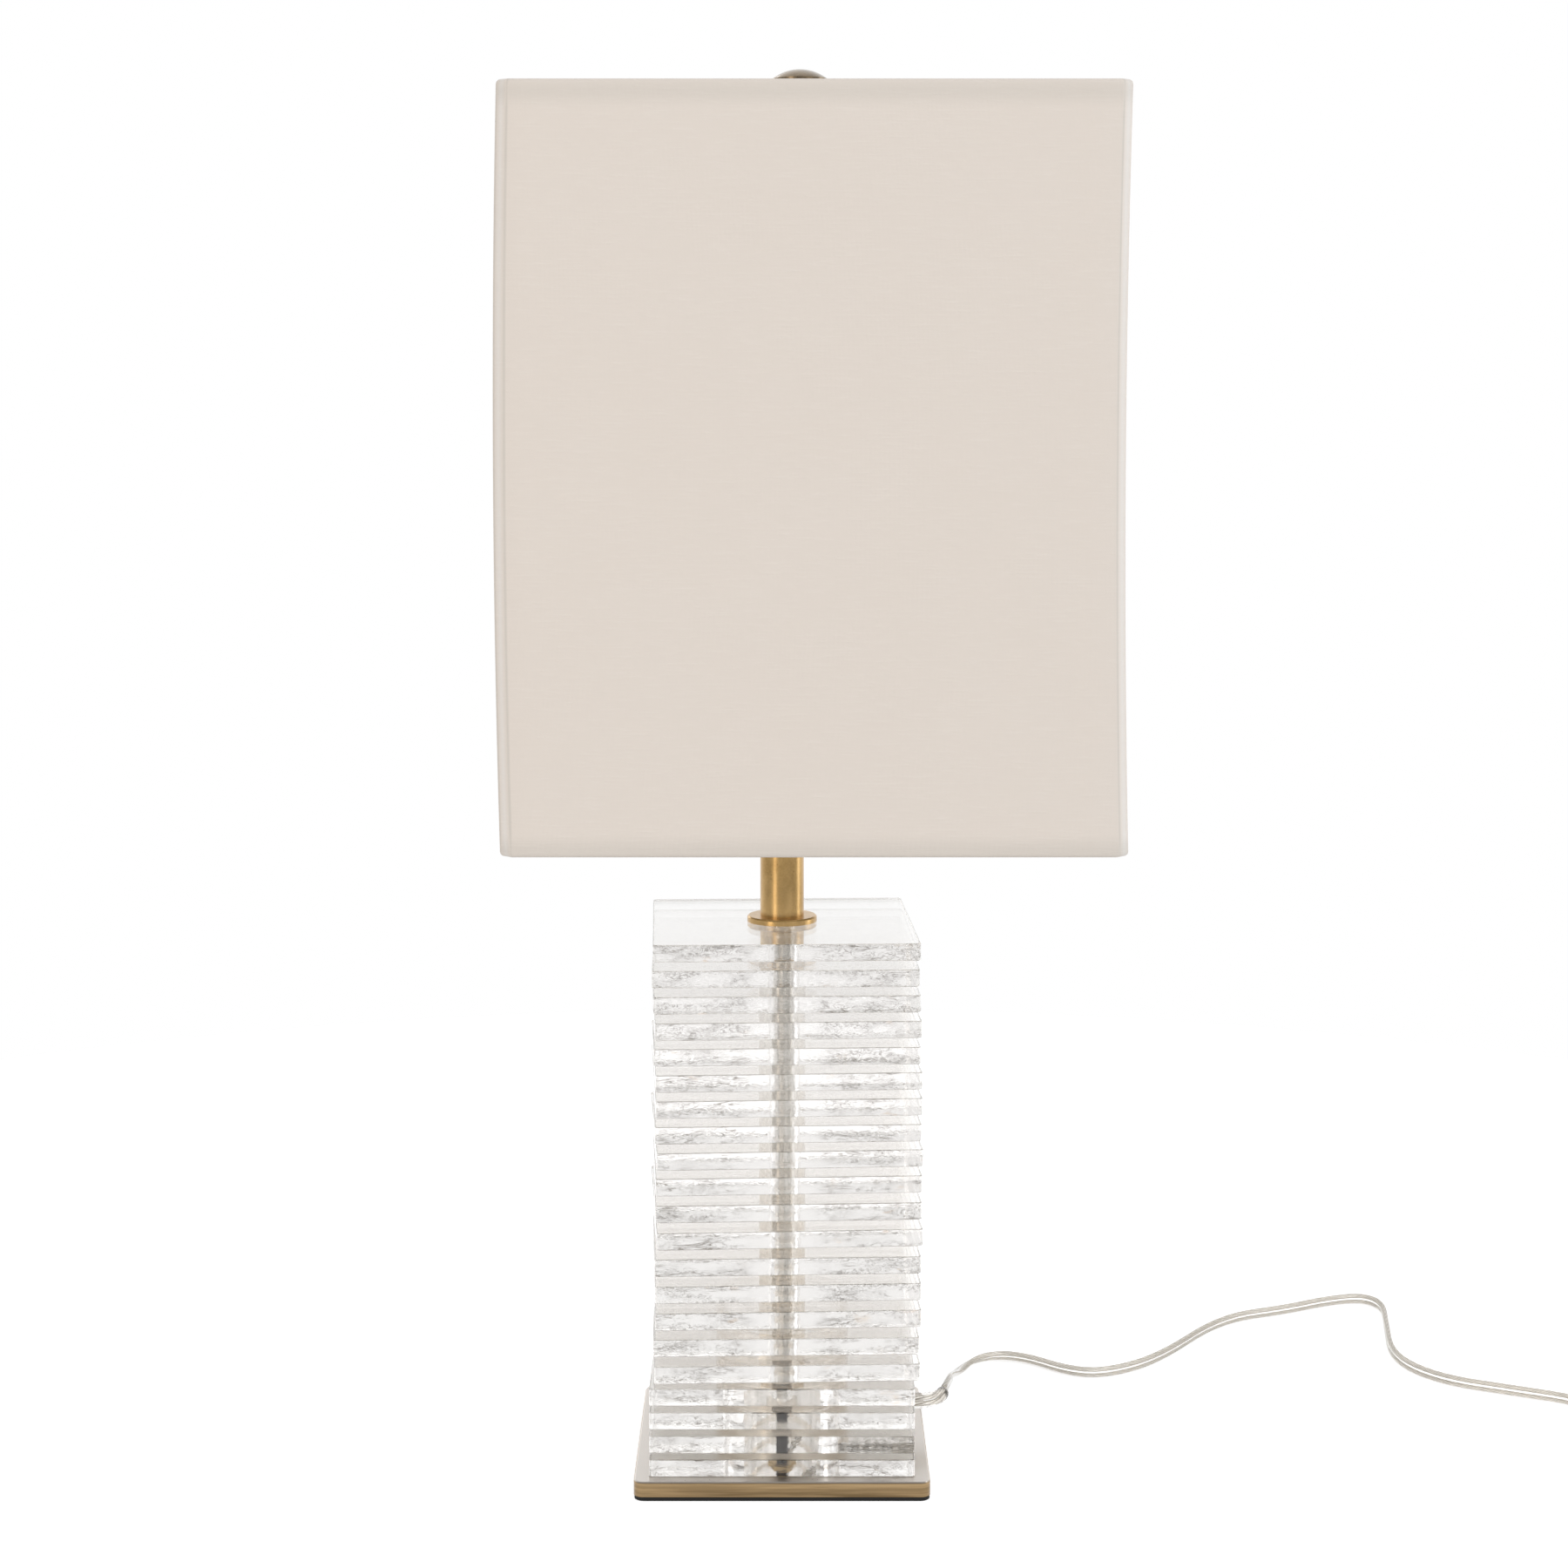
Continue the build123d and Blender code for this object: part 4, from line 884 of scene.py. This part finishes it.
# The top is painted paler than the flank, and palest under the glass, as painted light.
painted_light_under_glass = 1 - base_brass.ramp(off_axis, GLASS_EDGE - 1.5, GLASS_EDGE)
painted_lit_top = base_brass.mix(painted_light_under_glass, (0.67, 0.62, 0.57), (0.92, 0.91, 0.89))
on_top = base_brass.ramp(base_height, BASE_TOP - 0.8, BASE_TOP - 0.1)
base_brass.set("Base Color", base_brass.mix(on_top, flank, painted_lit_top))
satin_brass = brass("satin_brass", (0.54, 0.335, 0.12), (0.70, 0.46, 0.19), 0.3, line=0.01, coat=0.3)
plain_brass = brass("plain_brass", (0.50, 0.35, 0.15), (0.62, 0.46, 0.22), 0.3)
dress(aged_brass, "finial")
dress(base_brass, "base_plate")
dress(satin_brass, "neck_tube", "neck_flange")
dress(plain_brass, "rod_nuts", "harp_saddle", "harp", "harp_stud", "ferrule_left", "ferrule_right")
dress(plain_brass, "socket_cap", "socket_shell", "terminal_screws", "centre_contact")
dress(plain_brass, "switch_stem", "plug_blades")
print("brass dressed")


# %% Threads, black parts and the bulb
def ringed(name, color, pitch, depth, **values):
    """A finish with rings along the upright axis, for threads."""
    made = Finish(name, base_color=color, **values)
    height = made.axis(made.place(), 2)
    wave = made.math("SINE", height * (2 * math.pi / pitch))
    made.bump(wave, depth)
    speck = made.noise(made.place(), 0.7)
    # The grooves of the thread are painted darker, as painted shade.
    dark = tuple(c * 0.8 for c in color)
    made.set("Base Color", made.mix(made.ramp(wave, -1.0, 0.4), dark, color))
    made.set("Roughness", speck * 0.15 + 0.25)
    return made


rod = ringed("threaded_rod", (0.50, 0.49, 0.47), 0.94, 0.05, metallic=1.0)
rod_height = rod.axis(rod.place(), 2)
rod_speck = rod.noise(rod.place(), 0.4)
CAVITY_TOP = 46.0
# The rod is painted near-black where it stands inside the glass cavity, as painted shade.
painted_cavity_shade = 1 - rod.ramp(rod_height, CAVITY_TOP, CAVITY_TOP + 1.5)
rod_tone = rod.mix(rod_speck, (0.58, 0.57, 0.55), (0.78, 0.77, 0.745))
rod.set("Base Color", rod.mix(painted_cavity_shade, rod_tone, (0.05, 0.045, 0.042)))
rod.set("Roughness", rod_speck * 0.1 + 0.08)
cap = ringed("bulb_thread", (0.66, 0.66, 0.66), 3.6, 0.9, metallic=1.0)
dress(rod, "centre_rod")
dress(cap, "bulb_cap", "screw_shell")

steel = Finish("plain_steel", metallic=1.0, base_color=(0.5, 0.5, 0.5))
steel.set("Roughness", steel.noise(steel.place(), 0.5) * 0.2 + 0.25)
dress(steel, "base_washer")

black = Finish("black_plastic", base_color=(0.022, 0.022, 0.023), roughness=0.4)
black_grain = black.noise(black.place(), 1.8, detail=4.0)
black.bump(black_grain, 0.05)
black.set("Roughness", black_grain * 0.2 + 0.3)
dress(black, "socket_body", "switch_knob")

card = Finish("card_liner", base_color=(0.42, 0.31, 0.19), roughness=0.85)
card_fibre = card.noise(card.place(stretch=(1, 1, 4)), 0.8, detail=5.0)
card.set("Base Color", card.mix(card_fibre, (0.34, 0.25, 0.15), (0.5, 0.38, 0.24)))
dress(card, "socket_liner")

bulb = Finish("frosted_bulb", base_color=(0.93, 0.925, 0.91), roughness=0.32, coat_weight=0.4)
bulb_cloud = bulb.noise(bulb.place(), 0.06)
bulb.set("Base Color", bulb.mix(bulb_cloud, (0.90, 0.895, 0.875), (0.95, 0.945, 0.93)))
dress(bulb, "bulb_glass")

frame_finish = Finish("coated_wire", base_color=(0.80, 0.79, 0.76), roughness=0.35)
frame_speck = frame_finish.noise(frame_finish.place(), 0.5)
frame_finish.set("Roughness", frame_speck * 0.15 + 0.28)
frame_finish.bump(frame_speck, 0.05)
dress(frame_finish, "shade_top_frame", "shade_bottom_ring")
print("small parts dressed")

# %% [markdown]
# ## The shade
#
# Off-white cloth is laminated to a stiff sheet and rolled over a wire ring at the top and at the
# bottom. The four corners are creased twice, which leaves a narrow flat strip at each. The strips are
# painted lighter, as painted light, and the creases and the bands along the rolled edges are painted
# darker, as painted shade with some wear. The sheet is not quite flat: its sides lean a little at half
# height. The cloth is a real sheet of its own, carried round the outline in a profile that rolls over
# both rings.

# %% Cloth
cloth = Finish("shade_cloth", base_color=(0.80, 0.765, 0.715), roughness=0.85, sheen_weight=0.15)
weave_place = cloth.place(uv="cloth")
weave_values = {"Vector": weave_place, "Scale": 0.62, "Distortion": 1.2, "Detail": 2.0, "Detail Scale": 0.4}
threads = [cloth.node("ShaderNodeTexWave", {"bands_direction": way}, weave_values) for way in "XY"]
slub_place = cloth.place(stretch=(14, 1.0, 1), uv="cloth")
slubs = cloth.ramp(cloth.noise(slub_place, 0.9, detail=2.0), 0.45, 0.8)
cloud = cloth.noise(weave_place, 0.02, detail=3.0)
weave = (threads[0] + threads[1]) * 0.5
tone = cloth.mix(weave * 0.3 + slubs * 0.22, (0.755, 0.685, 0.62), (0.82, 0.76, 0.705))
tone = cloth.mix(cloud * 0.15, tone, (0.72, 0.63, 0.55))
cloth_uv = cloth.node("ShaderNodeUVMap", {"uv_map": "cloth"})
around = cloth.axis(cloth_uv, 0)
along = cloth.axis(cloth_uv, 1)


def near(value, place, width):
    """1 at a place along the cloth, in millimetres, and 0 beyond a width."""
    away = cloth.math("ABSOLUTE", value * 1000 - place)
    return 1 - cloth.ramp(away, 0.0, width)


SEAM_AT = 470.0
PAINTED_LIGHT_STRIPS = (196.5, 495.6, 695.7, 994.8)
FOLDS = (0.0, 193.0, 200.1, 492.1, 499.2, 692.2, 699.3, 991.3)
HEM_LINES = (15.5, 377.5)
# Bands along the rolled edges and the creases are painted darker: painted shade, with some wear.
edge_shade_and_wear = near(along, HEM_LINES[0], 9.0) * 0.5 + near(along, HEM_LINES[1], 9.0) * 0.5
for fold in FOLDS:
    edge_shade_and_wear = cloth.math("MAXIMUM", edge_shade_and_wear, near(around, fold, 1.2) * 0.8)
seam = near(around, SEAM_AT, 0.7)
overlap = cloth.ramp(around * 1000, SEAM_AT - 0.4, SEAM_AT + 0.4)
# The corner strips are painted lighter, as painted light.
for strip in PAINTED_LIGHT_STRIPS:
    tone = cloth.mix(near(around, strip, 3.4) * 0.4, tone, (0.85, 0.835, 0.815))
tone = cloth.mix(edge_shade_and_wear * 0.5, tone, (0.50, 0.475, 0.425))
cloth.set("Base Color", cloth.mix(seam * 0.5, tone, (0.45, 0.40, 0.34)))
cloth.bump(weave + slubs * 0.8 + overlap * 5.0, 0.06)
print("cloth ready")

# %% Shade sheets
SHADE_CENTRE = 15.5
SHADE_HALF = (151.0, 101.5)
SHADE_CUT = 5.0
SHADE_BOTTOM = 325.0
SHADE_TOP = 696.0
SHADE_LEAN = 2.4
SIDE_STEPS = 22


def shade_outline(inset):
    """Points round the shade, in millimetres, with their distance round it and their outward direction."""
    x, y = SHADE_HALF[0] - inset, SHADE_HALF[1] - inset
    cut = SHADE_CUT - inset * (2 - math.sqrt(2))
    corners = [(x, -y + cut), (x, y - cut), (x - cut, y), (-x + cut, y)]
    corners += [(-x, y - cut), (-x, -y + cut), (-x + cut, -y), (x - cut, -y)]
    outline = []
    for here, there in zip(corners, corners[1:] + corners[:1]):
        a, b = Vector(here), Vector(there)
        ease = 0.35 / max((b - a).length, 0.001)
        inner = [i / SIDE_STEPS for i in range(1, SIDE_STEPS)] if (b - a).length > 20 else [0.5]
        outline += [a.lerp(b, t) for t in (ease, *inner, 1 - ease)]
    return outline


def lean(height):
    """How far the sheet stands to the left at a height."""
    share = (height - SHADE_BOTTOM) / (SHADE_TOP - SHADE_BOTTOM)
    share = min(1, max(0, share))
    return -SHADE_LEAN * 4 * share * (1 - share)


def shade_sheet(name, profile, finish):
    """A sheet that follows the shade's outline, with a profile of inset and height pairs."""
    vertices, faces, rings = [], [], []
    for inset, height in profile:
        ring = shade_outline(inset)
        rings.append(ring)
        vertices += [Vector((p.x + SHADE_CENTRE + lean(height), p.y, height)) * MM for p in ring]
    count = len(rings[0])
    for i in range(len(profile) - 1):
        faces += ring_faces(i * count, count)
    piece = new_piece(name, vertices, faces, finish, "shade")
    ring = rings[len(rings) // 2]
    around = [0.0]
    for a, b in zip(ring, ring[1:] + ring[:1]):
        around.append(around[-1] + (b - a).length)
    upwards = [0.0]
    for a, b in zip(profile, profile[1:]):
        upwards.append(upwards[-1] + math.hypot(b[0] - a[0], b[1] - a[1]))
    layer = piece.data.uv_layers.new(name="cloth")
    for polygon in piece.data.polygons:
        last = {v % count for v in polygon.vertices} == {0, count - 1}
        for loop, vertex in zip(polygon.loop_indices, polygon.vertices):
            k = vertex % count
            u = around[count] if last and k == 0 else around[k]
            layer.data[loop].uv = (u * MM, upwards[vertex // count] * MM)
    return piece, around[-1], upwards[-1]


def thicken(piece, thickness):
    """Gives a sheet its thickness, on its inner side."""
    modifier = piece.modifiers.new("thickness", "SOLIDIFY")
    modifier.thickness = thickness
    modifier.offset = -1


ROLL_RADIUS = 2.3
ROLL_TAIL = 7.0
HEM_INSET = 1.7
HEIGHT_STEPS = 36


def rolled_profile():
    """From the glued hem round the bottom ring, up the outside, round the top ring and down to its hem."""
    points = [(HEM_INSET, SHADE_BOTTOM + ROLL_RADIUS + ROLL_TAIL)]
    for k in range(7):
        angle = math.pi * k / 6
        inset = ROLL_RADIUS * (1 + math.cos(angle))
        points.append((inset, SHADE_BOTTOM + ROLL_RADIUS * (1 - math.sin(angle))))
    low, high = SHADE_BOTTOM + ROLL_RADIUS, SHADE_TOP - ROLL_RADIUS
    points += [(0, low + (high - low) * k / HEIGHT_STEPS) for k in range(1, HEIGHT_STEPS)]
    for k in range(7):
        angle = math.pi * k / 6
        inset = ROLL_RADIUS * (1 - math.cos(angle))
        points.append((inset, SHADE_TOP - ROLL_RADIUS * (1 - math.sin(angle))))
    points.append((HEM_INSET, SHADE_TOP - ROLL_RADIUS - ROLL_TAIL))
    return points


cover, cover_round, cover_run = shade_sheet("shade_cloth", rolled_profile(), cloth)
thicken(cover, 0.4 * MM)
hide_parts("shade_cover")

backing_finish = Finish("shade_backing", base_color=(0.86, 0.835, 0.79), roughness=0.55)
backing_cloud = backing_finish.noise(backing_finish.place(), 0.4, detail=4.0)
backing_finish.set("Base Color", backing_finish.mix(backing_cloud, (0.83, 0.80, 0.75), (0.88, 0.86, 0.82)))
backing_finish.bump(backing_cloud, 0.03)
heights = np.linspace(SHADE_BOTTOM + 2.6, SHADE_TOP - 2.6, 24)
backing_profile = [(0.62, height) for height in heights]
backing, _, _ = shade_sheet("shade_backing_sheet", backing_profile, backing_finish)
thicken(backing, 0.5 * MM)
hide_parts("shade_backing")
print(f"cloth {cover_round:.0f} by {cover_run:.0f} mm")

# %% [markdown]
# ## The felt pad
#
# Black felt is glued under the base. Its edge is cut with a knife and is a little furry.

# %% Felt
felt = Finish("black_felt", base_color=(0.012, 0.012, 0.012), roughness=0.95)
felt_fur = felt.noise(felt.place(), 2.2, detail=5.0, roughness=0.7)
felt.set("Base Color", felt.mix(felt_fur, (0.006, 0.006, 0.006), (0.03, 0.03, 0.03)))
felt.bump(felt_fur, 0.3)
pad_low, pad_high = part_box("felt_pad")
PAD_SPREAD = 1.7 * MM
pad_half = (pad_high.x - pad_low.x) / 2 + PAD_SPREAD
pad_levels = [(0.0, 0.5), (0.4, 0.05), (1.8, 0.0), (2.2, 0.2)]
pad_halves = [pad_half - inset * MM for _, inset in pad_levels]
outlines = [rounded_rectangle(half, half, 4.5 * MM, 6) for half in pad_halves]
count = len(outlines[0])
vertices = [Vector((x, y, z * MM)) for outline, (z, _) in zip(outlines, pad_levels) for x, y in outline]
faces = [tuple(range(count - 1, -1, -1)), tuple(range(3 * count, 4 * count))]
for i in range(len(pad_levels) - 1):
    faces += ring_faces(i * count, count)
pad = new_piece("felt", vertices, faces, felt, "root", smooth=False)
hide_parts("felt_pad")
print("felt ready")

# %% [markdown]
# ## Light, floor and background
#
# The lamp stands in a white studio. The world is white to the camera and through the glass. Reflections
# see it white at the back and dimmer at the front, which shades the metal, and all else gets a softer
# light. The floor is white to the camera and keeps only the lamp's soft shadow.

# %% World
world = bpy.data.worlds.new("studio")
bpy.context.scene.world = world
world.use_nodes = True
world.node_tree.nodes.clear()
sky = Graph(world.node_tree)


def rays(graph, *kinds):
    """For each kind of ray, an output that is 1 for that kind."""
    path = graph.tree.nodes.new("ShaderNodeLightPath")
    return [Wire(graph, path.outputs[f"Is {kind} Ray"]) for kind in kinds]


soft = sky.node("ShaderNodeBackground", None, {"Color": (0.985, 0.99, 1.0, 1), "Strength": 0.76})
bright = sky.node("ShaderNodeBackground", None, {"Color": (1, 1, 1, 1), "Strength": 1.0})
behind = sky.axis(sky.node("ShaderNodeTexCoord"), 1)
smooth = {"interpolation_type": "SMOOTHSTEP"}
backdrop = sky.node("ShaderNodeMapRange", smooth, {"Value": behind, "From Min": -0.3})
room = sky.node("ShaderNodeBackground", None, {"Color": (1, 1, 1, 1), "Strength": backdrop * 0.62 + 0.38})
camera_ray, glossy_ray, glass_ray = rays(sky, "Camera", "Glossy", "Transmission")
lit = sky.node("ShaderNodeMixShader", None, {0: glossy_ray, 1: soft, 2: room})
clear = sky.math("MAXIMUM", camera_ray, glass_ray)
blend = sky.node("ShaderNodeMixShader", None, {0: clear, 1: lit, 2: bright})
sky.plug(sky.tree.nodes.new("ShaderNodeOutputWorld").inputs["Surface"], blend)
print("world ready")

# %% Floor
floor_material = bpy.data.materials.new("studio_floor")
floor_material.use_nodes = True
floor_material.node_tree.nodes.clear()
floor_graph = Graph(floor_material.node_tree)
paint = floor_graph.node("ShaderNodeBsdfDiffuse", None, {"Color": (0.86, 0.86, 0.86, 1)})
glow = floor_graph.node("ShaderNodeEmission", None, {"Color": (1, 1, 1, 1), "Strength": 0.55})
shown = floor_graph.node("ShaderNodeAddShader", None, {0: paint, 1: glow})
camera_ray, glossy_ray, glass_ray = rays(floor_graph, "Camera", "Glossy", "Transmission")
seen = floor_graph.math("MAXIMUM", floor_graph.math("MAXIMUM", camera_ray, glossy_ray), glass_ray)
mixed = floor_graph.node("ShaderNodeMixShader", None, {0: seen, 1: paint, 2: shown})
floor_output = floor_graph.tree.nodes.new("ShaderNodeOutputMaterial")
floor_graph.plug(floor_output.inputs["Surface"], mixed)
floor_mesh = bpy.data.meshes.new("floor")
FLOOR_RADIUS = 1.1
FLOOR_SIDES = 96
rim = [(x, y, 0) for x, y in circle(FLOOR_RADIUS, FLOOR_SIDES)]
floor_mesh.from_pydata(rim, [], [tuple(range(FLOOR_SIDES))])
floor_mesh.materials.append(floor_material)
floor = linked("floor", floor_mesh)
print("floor ready")


# %% Lamps
def soft_box(name, place, target, width, height, power, color):
    """A rectangular area lamp that points at a target."""
    lamp = linked(name, bpy.data.lights.new(name, "AREA"))
    lamp.data.shape = "RECTANGLE"
    lamp.data.size = width
    lamp.data.size_y = height
    lamp.data.energy = power
    lamp.data.color = color
    lamp.location = place
    lamp.rotation_euler = (Vector(target) - Vector(place)).to_track_quat("-Z", "Y").to_euler()


soft_box("key", (1.6, -1.7, 1.7), (0, 0, 0.4), 1.2, 1.2, 13, (0.93, 0.97, 1.0))
soft_box("left_strip", (-1.17, -1.5, 0.8), (0, 0, 0.5), 0.5, 2.0, 6, (1.0, 0.88, 0.74))
soft_box("right_strip", (1.9, 0.25, 0.8), (0, 0, 0.4), 0.6, 2.0, 6, (1.0, 1.0, 1.0))
soft_box("back", (-1.2, 1.9, 1.5), (0, 0, 0.4), 1.2, 1.2, 7, (1.0, 1.0, 1.0))
print("lamps ready")

# %% [markdown]
# ## Render settings
#
# Light crosses many plates before it leaves the stack, so the paths through glass are allowed to be
# long.

# %% Render settings
bpy.context.scene.view_settings.view_transform = "Standard"
bpy.context.scene.cycles.max_bounces = 64
bpy.context.scene.cycles.glossy_bounces = 64
bpy.context.scene.cycles.transmission_bounces = 64
